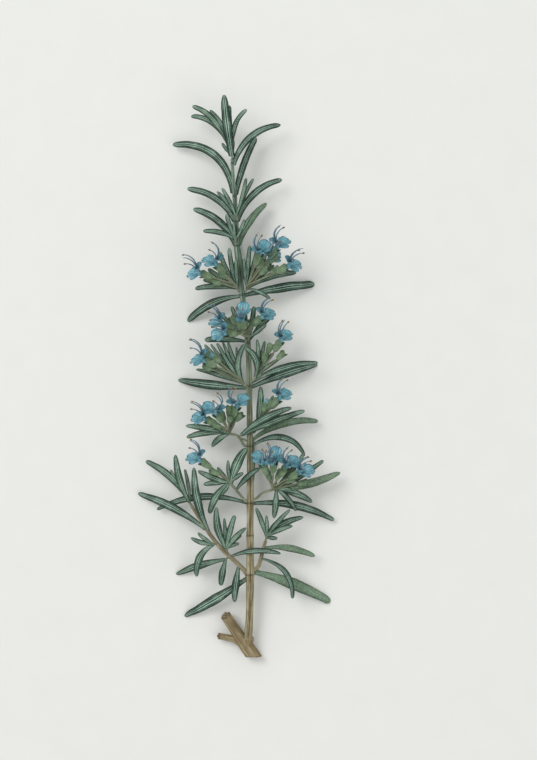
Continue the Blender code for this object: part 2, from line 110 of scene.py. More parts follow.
# One row a leaf: base, tip, how far the middle bows to the left and up, width, and any roll in degrees.
LEAVES = {
    "leaf_1_left": ((2.2, -100.2, 10.2), (-27.8, -120.6, 0.5), 0.6, 1.5, 5.2),
    "leaf_1_right": ((8.6, -97.6, 9.4), (46.0, -113.3, 0.5), 1.8, 2.0, 6.0, 165),
    "leaf_1_down": ((0.2, -95.4, 13.6), (-2.2, -112.5, 11.5), -0.5, 1.0, 4.0),
    "leaf_1_arch": ((12.2, -91.6, 13.8), (26.6, -110.4, 13.5), 5.4, 1.5, 3.4, 30),
    "leaf_1_light": ((13.8, -85.2, 11.4), (38.1, -89.7, 7.0), 2.0, 1.0, 4.0, 150),
    "leaf_1_cross": ((-3.3, -89.7, 13.6), (20.9, -87.6, 18.5), 2.4, 1.5, 3.4, 20),
    "leaf_left_shoot_upper": ((-15.0, -75.4, 14.2), (-22.2, -44.6, 19.0), 2.1, 0.5, 4.3),
    "leaf_left_shoot_outer": ((-18.4, -75.8, 11.2), (-51.3, -58.3, 2.0), -2.1, 2.0, 4.3),
    "leaf_2_left": ((3.0, -63.0, 12.2), (-41.6, -66.4, 4.0), -5.0, 0.5, 3.8),
    "leaf_2_cross": ((0.2, -54.0, 17.4), (10.8, -44.6, 19.5), 1.0, 0.8, 3.2, 10),
    "leaf_2_right": ((8.2, -63.0, 12.0), (48.0, -72.0, 3.0), 3.6, 2.0, 4.3),
    "leaf_3_right_arch": ((7.9, -34.2, 13.8), (33.2, -36.6, 12.0), 5.8, 2.0, 3.6, 20),
    "leaf_3_right": ((7.9, -30.4, 12.8), (39.9, -21.8, 5.0), 3.8, 1.0, 4.2, 160),
    "leaf_4_left": ((2.8, -5.0, 14.2), (-31.0, -0.9, 0.5), 0.6, 2.0, 4.9),
    "leaf_4_right_up": ((7.2, -2.2, 15.4), (39.5, 7.6, 14.0), 2.6, 1.5, 3.8, 10),
    "leaf_4_right": ((7.2, -5.0, 13.2), (39.6, 6.8, 0.5), 1.0, 2.0, 4.4),
    "leaf_5_left": ((2.2, 18.2, 13.8), (-17.4, 19.2, 7.0), -0.8, 1.0, 3.4),
    "leaf_5_right": ((6.4, 19.2, 15.0), (17.8, 32.5, 12.0), 0.8, 1.0, 3.0),
    "leaf_6_left": ((-0.2, 40.8, 13.6), (-26.2, 28.5, 0.5), -3.0, 1.5, 4.4),
    "leaf_6_right": ((4.0, 42.0, 13.8), (38.1, 47.5, 0.5), 0.8, 2.5, 4.8),
    "leaf_7_left": ((-2.4, 66.6, 14.8), (-23.3, 85.1, 7.0), -3.6, 1.0, 4.0),
    "leaf_7_right": ((1.2, 66.8, 14.6), (13.9, 88.0, 7.0), 2.0, 1.0, 4.0, 160),
    "leaf_8_left": ((-3.1, 78.6, 15.4), (-26.1, 95.0, 9.0), -4.2, 1.0, 3.6),
    "leaf_8_right": ((0.4, 78.8, 15.4), (21.3, 99.9, 9.0), 4.2, 1.0, 3.6),
    "leaf_9_left": ((-4.2, 92.2, 17.0), (-33.4, 118.1, 4.0), -8.8, 2.0, 4.2),
    "leaf_9_right": ((-0.4, 92.2, 16.6), (8.4, 121.0, 9.0), 1.2, 1.0, 3.6),
    "leaf_10_right": ((-1.4, 106.8, 19.0), (20.7, 127.1, 12.0), 4.8, 1.5, 3.6),
    "leaf_top": ((-4.0, 111.6, 21.4), (-7.3, 140.6, 22.5), 0.4, 1.5, 4.6),
    "leaf_back_1": ((5.5, -59.0, 10.6), (6.4, -30.0, 0.5), 0.0, -1.0, 4.2, 180),
    "leaf_back_2": ((1.6, 43.0, 13.0), (-1.6, 71.0, 0.5), 0.0, -1.0, 3.8, 180),
}

# How far some tips turn out to the left, at the very tip.
HOOKS = {"leaf_9_left": 0.6, "leaf_10_right": -0.4, "leaf_8_right": -0.4, "leaf_3_right_arch": -2.4}
TUFT_HOOKS = {"tuft_top": [1.4, 1.2, 1.2, 0.0, -1.8]}

# How far apart one group's leaves leave its stalk, how far one ridge across a leaf is from the next, how high
# a ridge is, and how many rows of faces a leaf has to a millimetre.
LEAF_SPACING = 0.27
RIDGE_SPACING = 1.15
RIDGE_HEIGHT = 0.12
LEAF_ROWS = 3.2
# How wide a leaf's foot is beside its middle. Leaves that start above CLASPING_FROM clasp the stem with a
# wide foot, and leaves that start below POINTED_BELOW have a more pointed tip.
LEAF_FOOT = 0.42
SMALL_FOOT = 0.5
CLASPING_FOOT = 0.7
CLASPING_FROM = 60.0
POINTED_BELOW = 10.0
# The furthest that a leaf or stalk is drawn out to reach the wood it grows from.
ROOT_REACH = 9.0

# Leaf groups from a leaf's axil: the stalk's centre line and radius, then tip, bows, width and any roll of
# each leaf. The stalk that is seen is slimmer by STALK_SLIM.
STALK_SLIM = 0.85
TUFTS = {
    "tuft_left_shoot_tip": ([((-24.1, -63.6, 11.5), 0.8), ((-24.9, -62.2, 11.4), 0.7)], [
        ((-47.1, -41.8, 5.0), -2.7, 1.5, 3.9, 10), ((-34.5, -46.0, 9.0), 0.5, 0.5, 2.0),
        ((-31.7, -38.3, 17.0), 1.5, 0.5, 3.7, 5), ((-27.3, -45.7, 10.5), -0.5, 0.5, 2.0, -10)]),
    "tuft_left_shoot_side": ([((-12.0, -83.0, 13.4), 0.6), ((-12.8, -83.2, 13.7), 0.6)], [
        ((-24.2, -79.8, 12.4), 0.8, 1.0, 2.6), ((-20.6, -77.2, 15.5), 0.5, 0.5, 2.2),
        ((-21.2, -99.9, 9.0), -3.4, 1.5, 4.0, 15)]),
    "tuft_left_shoot_mid": ([((-6.0, -86.4, 13.3), 0.6), ((-6.6, -85.4, 13.6), 0.6)], [
        ((-11.2, -64.2, 18.0), 1.6, 0.5, 3.9), ((-1.9, -68.2, 20.0), 0.5, 0.5, 3.2),
        ((3.7, -74.5, 18.0), 0.8, 1.0, 2.8), ((-7.4, -69.8, 15.4), 0.0, 0.6, 2.2)]),
    "tuft_left_shoot_low": ([((-6.0, -90.4, 10.2), 0.6), ((-6.8, -91.0, 10.0), 0.6)], [
        ((-32.0, -99.5, 0.5), -1.0, 1.0, 4.0), ((-9.2, -104.9, 4.5), -0.5, 1.0, 3.6)]),
    "tuft_right_shoot": ([((13.5, -80.2, 12.7), 0.6), ((13.8, -79.2, 13.0), 0.6)], [
        ((32.2, -69.7, 13.5), 1.8, 1.0, 3.7, 10), ((26.9, -73.8, 16.0), 0.8, 1.0, 2.8),
        ((8.4, -64.6, 18.0), -0.4, 0.5, 2.6), ((25.5, -65.3, 19.0), 0.6, 0.5, 2.6),
        ((19.4, -80.6, 11.0), 0.3, 0.4, 2.2)]),
    "tuft_2_left": ([((2.6, -60.8, 14.4), 0.8), ((-1.4, -56.0, 15.3), 0.75), ((-4.6, -52.0, 16.2), 0.7)], [
        ((-14.8, -68.1, 10.0), -1.9, 1.0, 3.8), ((-18.0, -53.4, 13.0), -0.6, 0.8, 2.9),
        ((-20.5, -46.4, 15.0), 0.5, 0.8, 3.4), ((-5.4, -40.8, 18.0), 0.4, 0.4, 2.2),
        ((4.2, -34.8, 21.0), 1.4, 0.5, 5.0)]),
    "tuft_2_right": ([((8.6, -60.2, 14.4), 0.8), ((12.0, -57.2, 15.0), 0.75), ((18.6, -55.4, 15.6), 0.7)], [
        ((17.4, -70.3, 13.0), 0.4, 0.8, 3.5), ((26.9, -64.6, 12.5), 1.2, 0.8, 2.8),
        ((36.7, -62.5, 9.0), 1.5, 1.0, 3.8), ((50.8, -47.4, 8.0), -1.5, 2.0, 4.6, 160),
        ((42.3, -41.1, 15.0), -0.8, 0.8, 3.2), ((32.5, -37.3, 18.0), -0.8, 0.8, 2.8)]),
    "tuft_3_left": ([((2.4, -33.4, 14.9), 0.8), ((-0.6, -29.0, 15.4), 0.75), ((-5.0, -27.6, 16.0), 0.7)], [
        ((-26.8, -23.9, 12.0), -0.6, 1.0, 3.4), ((-26.4, -29.9, 9.0), -1.6, 1.0, 3.4),
        ((-13.8, -34.8, 9.5), -1.2, 1.0, 3.2)]),
    "tuft_3_cross": ([((0.4, -29.8, 17.2), 0.6), ((1.0, -28.4, 17.5), 0.6)], [
        ((26.2, -14.8, 23.0), 1.8, 1.0, 4.0), ((32.9, -16.2, 17.5), 0.6, 1.0, 3.8)]),
    "tuft_3_right": ([((7.8, -27.0, 14.8), 0.6), ((8.6, -25.6, 15.0), 0.6)], [
        ((10.8, -4.2, 18.0), -0.8, 0.4, 3.6), ((23.0, -15.0, 16.0), 0.4, 0.6, 2.8)]),
    "tuft_4_left": ([((3.0, -4.0, 17.2), 0.6), ((2.0, -2.8, 17.4), 0.6)], [
        ((-21.5, 4.4, 13.0), -0.6, 0.8, 2.6), ((-17.3, 16.8, 14.0), 0.6, 0.8, 2.6),
        ((-11.0, 17.5, 18.0), 0.6, 0.8, 2.6), ((-5.5, 18.2, 15.5), 0.6, 0.4, 2.6),
        ((3.0, 16.9, 21.0), 3.4, 0.5, 3.4, 10)]),
    "tuft_4_right": ([((7.4, -0.8, 17.0), 0.6), ((8.2, 0.6, 17.2), 0.6)], [
        ((9.0, 19.4, 18.0), -1.0, 0.4, 2.6), ((12.9, 18.6, 15.0), -0.4, 0.4, 2.4),
        ((2.8, 15.4, 24.5), -3.4, 0.8, 3.8, -10)]),
    "tuft_5": ([((4.8, 19.2, 17.0), 0.6), ((5.0, 20.4, 17.4), 0.6)], [
        ((-3.7, 35.8, 20.0), 0.6, 0.4, 2.8), ((1.6, 36.0, 22.5), 0.4, 0.4, 2.8),
        ((7.5, 35.8, 19.0), -0.4, 0.4, 2.8)]),
    "tuft_6_left": ([((-0.4, 43.4, 16.8), 0.6), ((-0.8, 44.6, 17.2), 0.6)], [
        ((-22.2, 44.7, 11.0), -1.2, 1.0, 3.2), ((-15.6, 54.6, 16.0), 0.2, 1.0, 2.6),
        ((-9.6, 63.0, 17.0), 0.8, 0.6, 2.6), ((-4.8, 64.8, 20.0), 0.6, 0.6, 2.6),
        ((-1.5, 59.0, 22.0), 0.2, 0.6, 2.4)]),
    "tuft_6_right": ([((3.4, 43.4, 16.8), 0.6), ((4.0, 44.6, 17.2), 0.6)], [
        ((28.7, 52.5, 15.5), 2.0, 1.2, 3.4), ((13.6, 61.6, 16.0), 0.0, 0.6, 2.5),
        ((5.5, 65.8, 21.5), 0.2, 0.6, 2.6), ((9.0, 63.7, 18.5), -0.4, 0.6, 2.6)]),
    "tuft_7": ([((-1.6, 68.2, 17.6), 0.5), ((-1.8, 69.2, 18.0), 0.5)], [
        ((-18.0, 73.2, 15.5), -1.4, 1.0, 2.9), ((-6.1, 81.6, 20.0), 0.4, 0.4, 2.4),
        ((-2.6, 77.4, 19.0), 0.2, 0.4, 2.0), ((3.0, 79.0, 18.6), -0.2, 0.4, 2.0)]),
    "tuft_8": ([((-1.5, 80.0, 18.0), 0.5), ((-1.6, 81.0, 18.4), 0.5)], [
        ((-11.0, 92.9, 18.5), -0.6, 0.6, 2.2), ((-8.5, 94.6, 20.0), -0.4, 0.6, 2.2),
        ((3.6, 99.5, 20.0), -0.6, 0.6, 2.2), ((7.3, 99.5, 17.0), 0.6, 0.6, 2.2)]),
    "tuft_top": ([((-3.4, 110.0, 19.6), 0.5), ((-3.5, 110.8, 19.6), 0.5)], [
        ((-22.2, 136.4, 16.5), -3.2, 1.5, 3.2), ((-23.3, 132.2, 10.0), -4.8, 1.0, 3.2),
        ((-13.4, 133.6, 20.5), -1.4, 0.8, 2.4), ((-4.7, 136.0, 17.0), 0.4, 0.6, 2.6),
        ((2.4, 133.9, 20.5), 2.4, 0.8, 2.8)]),
}

# Small leaves among each group's own, as rows of tip, bows and width.
EXTRA_LEAVES = {
    "tuft_left_shoot_mid": [
        ((-4.4, -73.2, 15.0), 0.3, 0.6, 2.4), ((1.4, -78.4, 15.5), 0.6, 0.6, 2.4),
        ((0.2, -82.6, 14.5), 0.4, 0.4, 2.0), ((-9.6, -74.4, 15.5), 0.4, 0.6, 2.2)],
    "tuft_right_shoot": [((20.6, -70.4, 15.0), 0.4, 0.6, 2.4), ((13.6, -68.4, 16.5), -0.3, 0.5, 2.0)],
    "tuft_2_left": [
        ((-10.8, -44.4, 17.0), 0.4, 0.5, 2.4), ((-12.6, -50.6, 16.0), 0.3, 0.5, 2.2),
        ((2.4, -47.0, 18.5), 0.2, 0.5, 2.4), ((-9.0, -58.6, 14.5), 0.2, 0.4, 2.2)],
    "tuft_2_right": [
        ((24.6, -48.2, 15.5), -0.6, 0.6, 2.6), ((30.6, -57.8, 13.5), 0.8, 0.8, 3.0),
        ((28.6, -66.6, 13.5), 1.2, 0.6, 2.6)],
    "tuft_3_left": [((-14.6, -22.6, 15.5), 0.4, 0.5, 2.4), ((-1.6, -19.6, 16.5), 0.3, 0.5, 2.6)],
    "tuft_3_right": [((14.6, -13.4, 16.5), -0.3, 0.5, 2.4), ((17.4, -8.6, 15.0), 0.3, 0.6, 2.4)],
    "tuft_4_left": [
        ((-14.2, 17.0, 14.5), 0.5, 0.6, 2.2), ((-8.2, 18.2, 16.0), 0.5, 0.6, 2.2),
        ((-20.4, 9.2, 14.0), -0.3, 0.6, 2.2), ((-1.4, 15.4, 15.5), 0.4, 0.4, 2.0)],
    "tuft_4_right": [((17.4, 12.6, 15.5), 0.4, 0.5, 2.4), ((20.6, 9.8, 15.0), 0.5, 0.6, 2.2)],
    "tuft_5": [((-11.6, 34.0, 18.0), 0.5, 0.5, 2.2), ((13.6, 27.0, 18.0), -0.4, 0.5, 2.4)],
    "tuft_6_left": [((-12.6, 50.2, 17.0), 0.3, 0.6, 2.2), ((-18.0, 49.0, 15.0), -0.4, 0.6, 2.4)],
    "tuft_6_right": [
        ((17.6, 56.4, 16.5), 0.3, 0.6, 2.4), ((2.4, 59.6, 20.5), 0.2, 0.5, 2.2),
        ((15.7, 39.4, 14.5), 1.0, 0.5, 2.0)],
    "tuft_7": [((-10.6, 78.0, 18.5), -0.5, 0.5, 2.2), ((5.6, 80.6, 18.0), -0.3, 0.4, 2.0)],
    "tuft_top": [((-8.5, 117.0, 20.5), 0.3, 0.3, 1.8), ((-2.6, 118.4, 21.0), 0.0, 0.3, 1.8)],
}

# Flower groups: the shared foot of the stalks, then each flower's throat and how many degrees above level
# its upper lip points.
FLOWERS = {
    "flowers_2_left": ((-6.4, -49.6, 18.6), [((-20.0, -40.4, 20.5), 50)]),
    "flowers_2_right": ((16.6, -54.4, 18.0), [
        ((11.5, -41.5, 22.0), 40), ((17.4, -40.4, 25.5), 35), ((24.4, -43.0, 21.5), 50),
        ((31.0, -46.4, 23.0), 60)]),
    "flowers_3_left": ((-5.6, -25.4, 18.4), [
        ((-17.6, -20.0, 20.0), 60), ((-12.0, -16.4, 23.5), 50), ((-0.4, -13.0, 23.0), 40)]),
    "flowers_3_right": ((11.6, -20.0, 18.4), [((20.6, -9.4, 20.0), 50)]),
    "flowers_4_left": ((-0.4, 0.6, 19.6), [((-18.0, 9.0, 20.0), 50)]),
    "flowers_4_right": ((10.6, 1.6, 16.6), [((21.4, 19.6, 19.0), 55)]),
    "flowers_5": ((1.6, 21.6, 20.0), [
        ((-9.0, 27.6, 20.0), 60), ((-7.6, 22.4, 23.0), 60), ((1.8, 31.0, 26.5), 40),
        ((12.2, 30.8, 22.0), 55)]),
    "flowers_6_left": ((-1.6, 46.4, 19.2), [((-20.0, 52.4, 19.5), 60), ((-12.0, 57.0, 23.0), 50)]),
    "flowers_6_right": ((4.4, 46.2, 19.6), [
        ((10.8, 62.8, 25.5), 50), ((15.6, 59.0, 19.6), 60), ((19.6, 65.6, 24.5), 50),
        ((25.2, 55.8, 21.5), 60)]),
}

# Calyces with no open flower: where the mouth is, how many degrees above level the upper tooth points, and
# whether there is a bud. They are smaller by LOOSE_SIZE, and sit with their teeth LOOSE_PUSH past the mouth.
LOOSE_SIZE = 0.85
LOOSE_PUSH = 1.7
# Where a calyx meets its stalk, measured from its flower's throat, and how thick the sheets are.
CALYX_FOOT = Vector((-7.4, 0, 0))
CALYX_WALL = 0.16
TUBE_WALL = 0.12
LOBE_WALL = 0.14
LOOSE_CALYCES = {
    "flowers_2_left": [((-14.0, -46.0, 19.0), 40, False)],
    "flowers_2_right": [
        ((20.8, -46.4, 19.0), 60, False), ((28.0, -50.0, 19.0), 60, False), ((14.2, -46.8, 18.5), 40, True),
        ((33.6, -52.0, 17.0), 50, False)],
    "flowers_3_left": [
        ((-8.8, -17.4, 20.5), 50, True), ((-4.6, -14.6, 21.0), 70, False), ((1.4, -18.2, 20.5), 60, False),
        ((-13.0, -23.0, 19.0), 50, False), ((-4.0, -18.6, 23.5), 90, False)],
    "flowers_3_right": [((16.2, -11.8, 18.5), 40, False), ((13.4, -12.6, 18.5), 40, True)],
    "flowers_4_left": [
        ((-17.0, 12.0, 18.5), 50, True), ((-12.6, 10.6, 19.5), 60, True), ((-17.6, 5.6, 18.5), 50, False)],
    "flowers_4_right": [
        ((15.8, 16.6, 17.5), 40, False), ((22.4, 12.6, 16.0), 60, False), ((13.2, 12.0, 17.5), 60, False)],
    "flowers_5": [
        ((-3.4, 30.4, 19.5), 60, False), ((3.6, 28.4, 21.5), 90, False), ((8.6, 28.6, 19.5), 60, False),
        ((-6.6, 26.0, 18.5), 40, True), ((-0.2, 28.8, 23.0), 90, False)],
    "flowers_6_left": [
        ((-16.4, 50.2, 17.0), 60, False), ((-13.0, 47.6, 17.5), 50, False), ((-9.6, 52.6, 20.5), 60, False)],
    "flowers_6_right": [
        ((14.0, 54.6, 20.5), 50, False), ((18.8, 60.8, 20.5), 60, True), ((11.6, 58.6, 22.0), 60, False),
        ((19.6, 54.4, 20.0), 50, False)],
}


class Wire:
    """One socket of a node tree. A sum of wires and numbers adds the Math nodes that work it out."""

    def __init__(self, tree, node=None, socket=None):
        self.tree = tree
        self.box = node
        self.socket = socket

    @staticmethod
    def pick(sockets, key):
        named = [socket for socket in sockets if socket.identifier == key]
        return (named or [socket for socket in sockets if socket.name == key])[0]

    def node(self, kind, inputs=None, **settings):
        """Adds a node, with the values or wires of its sockets and its settings. Returns its first output."""
        made = self.tree.nodes.new(kind)
        for key, value in settings.items():
            if key == "stops":
                ramp = made.color_ramp
                while len(ramp.elements) < len(value):
                    ramp.elements.new(1.0)
                for element, (place, colour) in zip(ramp.elements, value):
                    element.position = place
                    element.color = colour
            else:
                setattr(made, key, value)
        for key, value in (inputs or {}).items():
            socket = self.pick(made.inputs, key)
            if isinstance(value, Wire):
                self.tree.links.new(value.socket, socket)
            else:
                socket.default_value = value
        return Wire(self.tree, made, made.outputs[0] if made.outputs else None)

    def out(self, key):
        return Wire(self.tree, self.box, self.pick(self.box.outputs, key))

    def math(self, operation, *values):
        keys = ("Value", "Value_001", "Value_002")
        return self.node("ShaderNodeMath", dict(zip(keys, values)), operation=operation)

    def clamp(self):
        made = self.math("ADD", self, 0.0)
        made.box.use_clamp = True
        return made

    def scaled(self, amount):
        return self.node("ShaderNodeVectorMath", {"Vector": self, "Scale": amount}, operation="SCALE")

    def __abs__(self):
        return self.math("ABSOLUTE", self)


SIGNS = {"add": "ADD", "sub": "SUBTRACT", "mul": "MULTIPLY", "truediv": "DIVIDE", "pow": "POWER"}
for sign, deed in SIGNS.items():
    setattr(Wire, f"__{sign}__", lambda one, other, deed=deed: one.math(deed, one, other))
    setattr(Wire, f"__r{sign}__", lambda one, other, deed=deed: one.math(deed, other, one))


def paint(red, green, blue):
    """A colour from 0 to 255 parts as the light that a shader works in."""
    def light(part):
        part /= 255
        return part / 12.92 if part <= 0.04045 else ((part + 0.055) / 1.055) ** 2.4
    return light(red), light(green), light(blue), 1.0


def shades(dark, middle, light, halfway=0.5):
    """The stops of a colour ramp through three colours."""
    return [(0.0, paint(*dark)), (halfway, paint(*middle)), (1.0, paint(*light))]


def hump(value, middle, reach):
    """1 where value is at the middle, falling straight to 0 at the reach."""
    return (1 - abs(value - middle) / reach).clamp()


# ---- Finishes ----

def new_material(name):
    made = bpy.data.materials.new(name)
    made.use_nodes = True
    wire = Wire(made.node_tree)
    shader = made.node_tree.nodes["Principled BSDF"]
    return made, wire, shader


def attribute(wire, name):
    return wire.node("ShaderNodeAttribute", attribute_name=name).out("Fac")


def object_place(wire):
    return wire.node("ShaderNodeTexCoord").out("Object")


def noise(wire, scale, detail=3.0):
    """Noise at a scale of so many cells a metre, from about 0 to 1."""
    return wire.node("ShaderNodeTexNoise", {
        "Vector": object_place(wire), "Scale": scale, "Detail": detail}).out("Fac")


def lengthwise(wire, run, scale, detail=5.0):
    """Noise drawn out along a stem: round it on a circle, and along it over run turns of the pattern."""
    angle = attribute(wire, "around") * (2 * math.pi)
    place = wire.node("ShaderNodeCombineXYZ", {
        "X": wire.math("COSINE", angle), "Y": wire.math("SINE", angle), "Z": attribute(wire, "along") * run})
    return wire.node("ShaderNodeTexNoise", {"Vector": place, "Scale": scale, "Detail": detail}).out("Fac")


def blended(wire, factor, first, second):
    inputs = {"Factor_Float": factor, "A_Color": first, "B_Color": second}
    return wire.node("ShaderNodeMix", inputs, data_type="RGBA").out("Result_Color")


def toned(wire, tone, stops):
    return wire.node("ShaderNodeValToRGB", {"Fac": tone}, stops=stops).out("Color")


def dress(wire, shader, colour, roughness, height, distance, strength=0.6, specular=0.5, sheen=0.0):
    """Wires a material's colour, roughness and bump, and sets how glossy and how downy it is."""
    bump = wire.node("ShaderNodeBump", {"Height": height, "Strength": strength, "Distance": distance})
    for socket, value in (("Base Color", colour), ("Roughness", roughness), ("Normal", bump.out("Normal"))):
        wire.tree.links.new(value.socket, shader.inputs[socket])
    shader.inputs["Specular IOR Level"].default_value = specular
    shader.inputs["Sheen Weight"].default_value = sheen


def leaf_finish(name, stops, under_stops):
    """A leathery upper face with a painted highlight line each side of the midrib, and a felted, net-veined
    underside.
    """
    made, wire, shader = new_material(name)
    across = attribute(wire, "across")
    out = abs(across)
    upper = attribute(wire, "upper")
    ridge = attribute(wire, "ridge")
    blotch = noise(wire, 170.0)
    grain = noise(wire, 2600.0, 4.0)
    # midrib: painted shade in the midrib groove on the upper face; on the underside it is made lighter.
    midrib = hump(out, 0.0, 0.11)
    # pale: two painted highlight lines along the leaf, one each side of the midrib, brighter on the ridge
    # crests.
    pale = hump(out, 0.22, 0.13)
    # Painted shade along the rolled-under margins, on both faces.
    margin_shade = ((out - 0.64) / 0.36).clamp()
    # cross: the crests of the cross ridges are painted lighter than the hollows between them, painted light
    # and shade on the relief.
    cross = ridge * (hump(out, 0.5, 0.42) * 1.6).clamp()
    tone = (0.4 + (blotch - 0.5) * 0.8 + (grain - 0.5) * 0.35 + cross * 0.1 + pale * (0.46 + ridge * 0.3)
            - midrib * 0.34 - margin_shade * 0.5)
    top = toned(wire, tone, stops)
    vein = wire.node("ShaderNodeTexVoronoi", {"Vector": object_place(wire), "Scale": 620.0},
                     feature="DISTANCE_TO_EDGE").out("Distance")
    net = (1 - vein * 6.0).clamp()
    side_vein = (hump(ridge, 0.5, 0.5) * 1.6 - 0.9).clamp()
    under_tone = (0.66 + (blotch - 0.5) * 0.6 + (grain - 0.5) * 0.4 - net * 0.34 - side_vein * 0.12
                  + midrib * 0.3 - margin_shade * 0.5)
    under = toned(wire, under_tone, under_stops)
    colour = blended(wire, upper, under, top)
    roughness = 0.62 - upper * 0.12 + (grain - 0.5) * 0.3
    height = (ridge * 0.35 * upper + grain * 0.35 - net * 0.4 * (1 - upper)).clamp()
    dress(wire, shader, colour, roughness, height, 0.00022, specular=0.3, sheen=0.03)
    return made


def petal_finish(name, stops):
    """Thin petals: veins run from the throat to the rim, with a pale throat and a darker crumpled rim."""
    made, wire, shader = new_material(name)
    across = attribute(wire, "across")
    along = attribute(wire, "along")
    blotch = noise(wire, 420.0)
    fibre = noise(wire, 1600.0, 4.0)
    lines = wire.math("SINE", across * 15.0 + (blotch - 0.5) * 3.0)
    vein = (lines * 2.2 - 1.1).clamp()
    rim = ((along - 0.86) / 0.14).clamp()
    side = ((abs(across) - 0.78) / 0.22).clamp()
    tone = 0.55 + (blotch - 0.5) * 0.75 + (fibre - 0.5) * 0.3 - vein * 0.3 - rim * 0.28 - side * 0.25
    colour = toned(wire, tone, stops)
    roughness = 0.5 + (fibre - 0.5) * 0.4
    height = (0.5 - vein * 0.4 + (fibre - 0.5) * 0.5).clamp()
    dress(wire, shader, colour, roughness, height, 0.00025, specular=0.3, sheen=0.15)
    return made


def calyx_finish(name, stops):
    """A felted calyx: painted light on the ribs and painted shade in the grooves between them, and duller
    towards the teeth.
    """
    made, wire, shader = new_material(name)
    rib = (attribute(wire, "across") - 0.1) / 0.7
    along = attribute(wire, "along")
    blotch = noise(wire, 380.0)
    felt = noise(wire, 3200.0, 4.0)
    # rib: the rib crests are painted lighter and the grooves darker, painted light and shade.
    tone = 0.34 + rib * 0.42 + (blotch - 0.5) * 0.7 + (felt - 0.5) * 0.3 - along * 0.14
    colour = toned(wire, tone, stops)
    roughness = 0.7 + (felt - 0.5) * 0.3
    height = (rib * 0.6 + felt * 0.4).clamp()
    dress(wire, shader, colour, roughness, height, 0.0002, specular=0.3, sheen=0.05)
    return made


def bark_finish(name, stops, rough, run, depth):
    """Bark or young stem: fibres and fine cracks that run along it, and a darker ring at each scar."""
    made, wire, shader = new_material(name)
    ring = attribute(wire, "ring")
    blotch = noise(wire, 150.0)
    fibre = lengthwise(wire, run, 4.0)
    crack = hump(lengthwise(wire, run * 0.7, 6.0, 2.0), 0.5, 0.03)
    tone = 0.54 + (blotch - 0.5) * 0.6 + (fibre - 0.5) * 1.1 - crack * 0.22 - ring * 0.35
    colour = toned(wire, tone, stops)
    roughness = rough + (fibre - 0.5) * 0.3
    height = (fibre * 0.8 - crack * 0.5 + 0.2).clamp()
    dress(wire, shader, colour, roughness, height, depth, 0.8, specular=0.25)
    return made


def stem_finish():
    """The main stem: brown bark by the old wood, which turns to a grooved green stem towards the tip."""
    made, wire, shader = new_material("stem_bark")
    height_up = wire.node("ShaderNodeSeparateXYZ", {"Vector": object_place(wire)}).out("Y")
    around = attribute(wire, "around")
    ring = attribute(wire, "ring")
    blotch = noise(wire, 170.0)
    fibre = lengthwise(wire, 7.0, 4.0)
    line = hump(lengthwise(wire, 3.0, 5.0, 2.0), 0.5, 0.035)
    # Painted shade in the four grooves that run along the stem.
    groove = (wire.math("COSINE", around * (8 * math.pi)) * 1.4 - 0.5).clamp()
    tone = 0.58 + (blotch - 0.5) * 0.5 + (fibre - 0.5) * 1.2 - groove * 0.26 - ring * 0.35 - line * 0.28
    brown = toned(wire, tone, shades((48, 40, 22), (136, 126, 94), (206, 198, 168)))
    middle = toned(wire, tone, shades((36, 44, 30), (118, 124, 96), (204, 206, 180)))
    green = toned(wire, tone, shades((26, 44, 34), (94, 118, 100), (188, 206, 186)))
    low = ((height_up + 0.06) / 0.035).clamp()
    high = ((height_up + 0.02) / 0.05).clamp()
    colour = blended(wire, high, blended(wire, low, brown, middle), green)
    roughness = 0.7 + (fibre - 0.5) * 0.3
    dress(wire, shader, colour, roughness, (fibre * 0.9 - line * 0.3).clamp(), 0.0003, 0.7, specular=0.3)
    return made


def pith_finish():
    """A cut or snapped end: pale wood with rings round a dark pith."""
    made, wire, shader = new_material("cut_wood")
    away = attribute(wire, "away")
    blotch = noise(wire, 900.0)
    rings = wire.math("SINE", away * 40.0 + blotch * 4.0)
    pith = hump(away, 0.0, 0.3)
    pits = ((noise(wire, 2600.0, 2.0) - 0.55) * 8.0).clamp()
    rim = ((away - 0.8) * 3.0).clamp()
    tone = 0.62 + rings * 0.12 + (blotch - 0.5) * 0.7 - pith * 0.7 - pits * 0.6 - rim * 0.4
    colour = toned(wire, tone, shades((44, 32, 18), (130, 116, 86), (188, 174, 142)))
    dress(wire, shader, colour, 0.75 + (blotch - 0.5) * 0.3, (tone * 0.8).clamp(), 0.0003, 0.8)
    return made


def plain_finish(name, stops, scale, rough, depth):
    made, wire, shader = new_material(name)
    grain = noise(wire, scale, 4.0)
    colour = toned(wire, 0.5 + (grain - 0.5) * 1.8, stops)
    dress(wire, shader, colour, rough + (grain - 0.5) * 0.3, grain, depth, 0.5)
    return made


LEAF = leaf_finish("leaf", shades((12, 26, 20), (54, 82, 68), (170, 198, 178), 0.45),
                   [(0.0, paint(50, 74, 54)), (1.0, paint(146, 172, 146))])
YOUNG_LEAF = leaf_finish("young_leaf", shades((18, 36, 28), (66, 96, 79), (172, 198, 176), 0.45),
                         [(0.0, paint(58, 84, 60)), (1.0, paint(150, 174, 148))])
CALYX = calyx_finish("calyx", shades((36, 52, 34), (104, 130, 100), (184, 200, 158)))
PETAL = petal_finish("petal", shades((28, 72, 90), (100, 162, 176), (200, 232, 238)))
STEM = stem_finish()
OLD_BARK = bark_finish("old_bark", shades((46, 34, 18), (140, 124, 92), (208, 194, 160)), 0.8, 0.5, 0.0004)
GREEN_STEM = bark_finish("green_stem", shades((54, 48, 30), (134, 126, 98), (204, 198, 172)),
                         0.65, 1.6, 0.0003)
STALK = bark_finish("stalk", shades((44, 50, 34), (122, 130, 104), (196, 202, 174)), 0.65, 1.2, 0.0002)
CUT_WOOD = pith_finish()
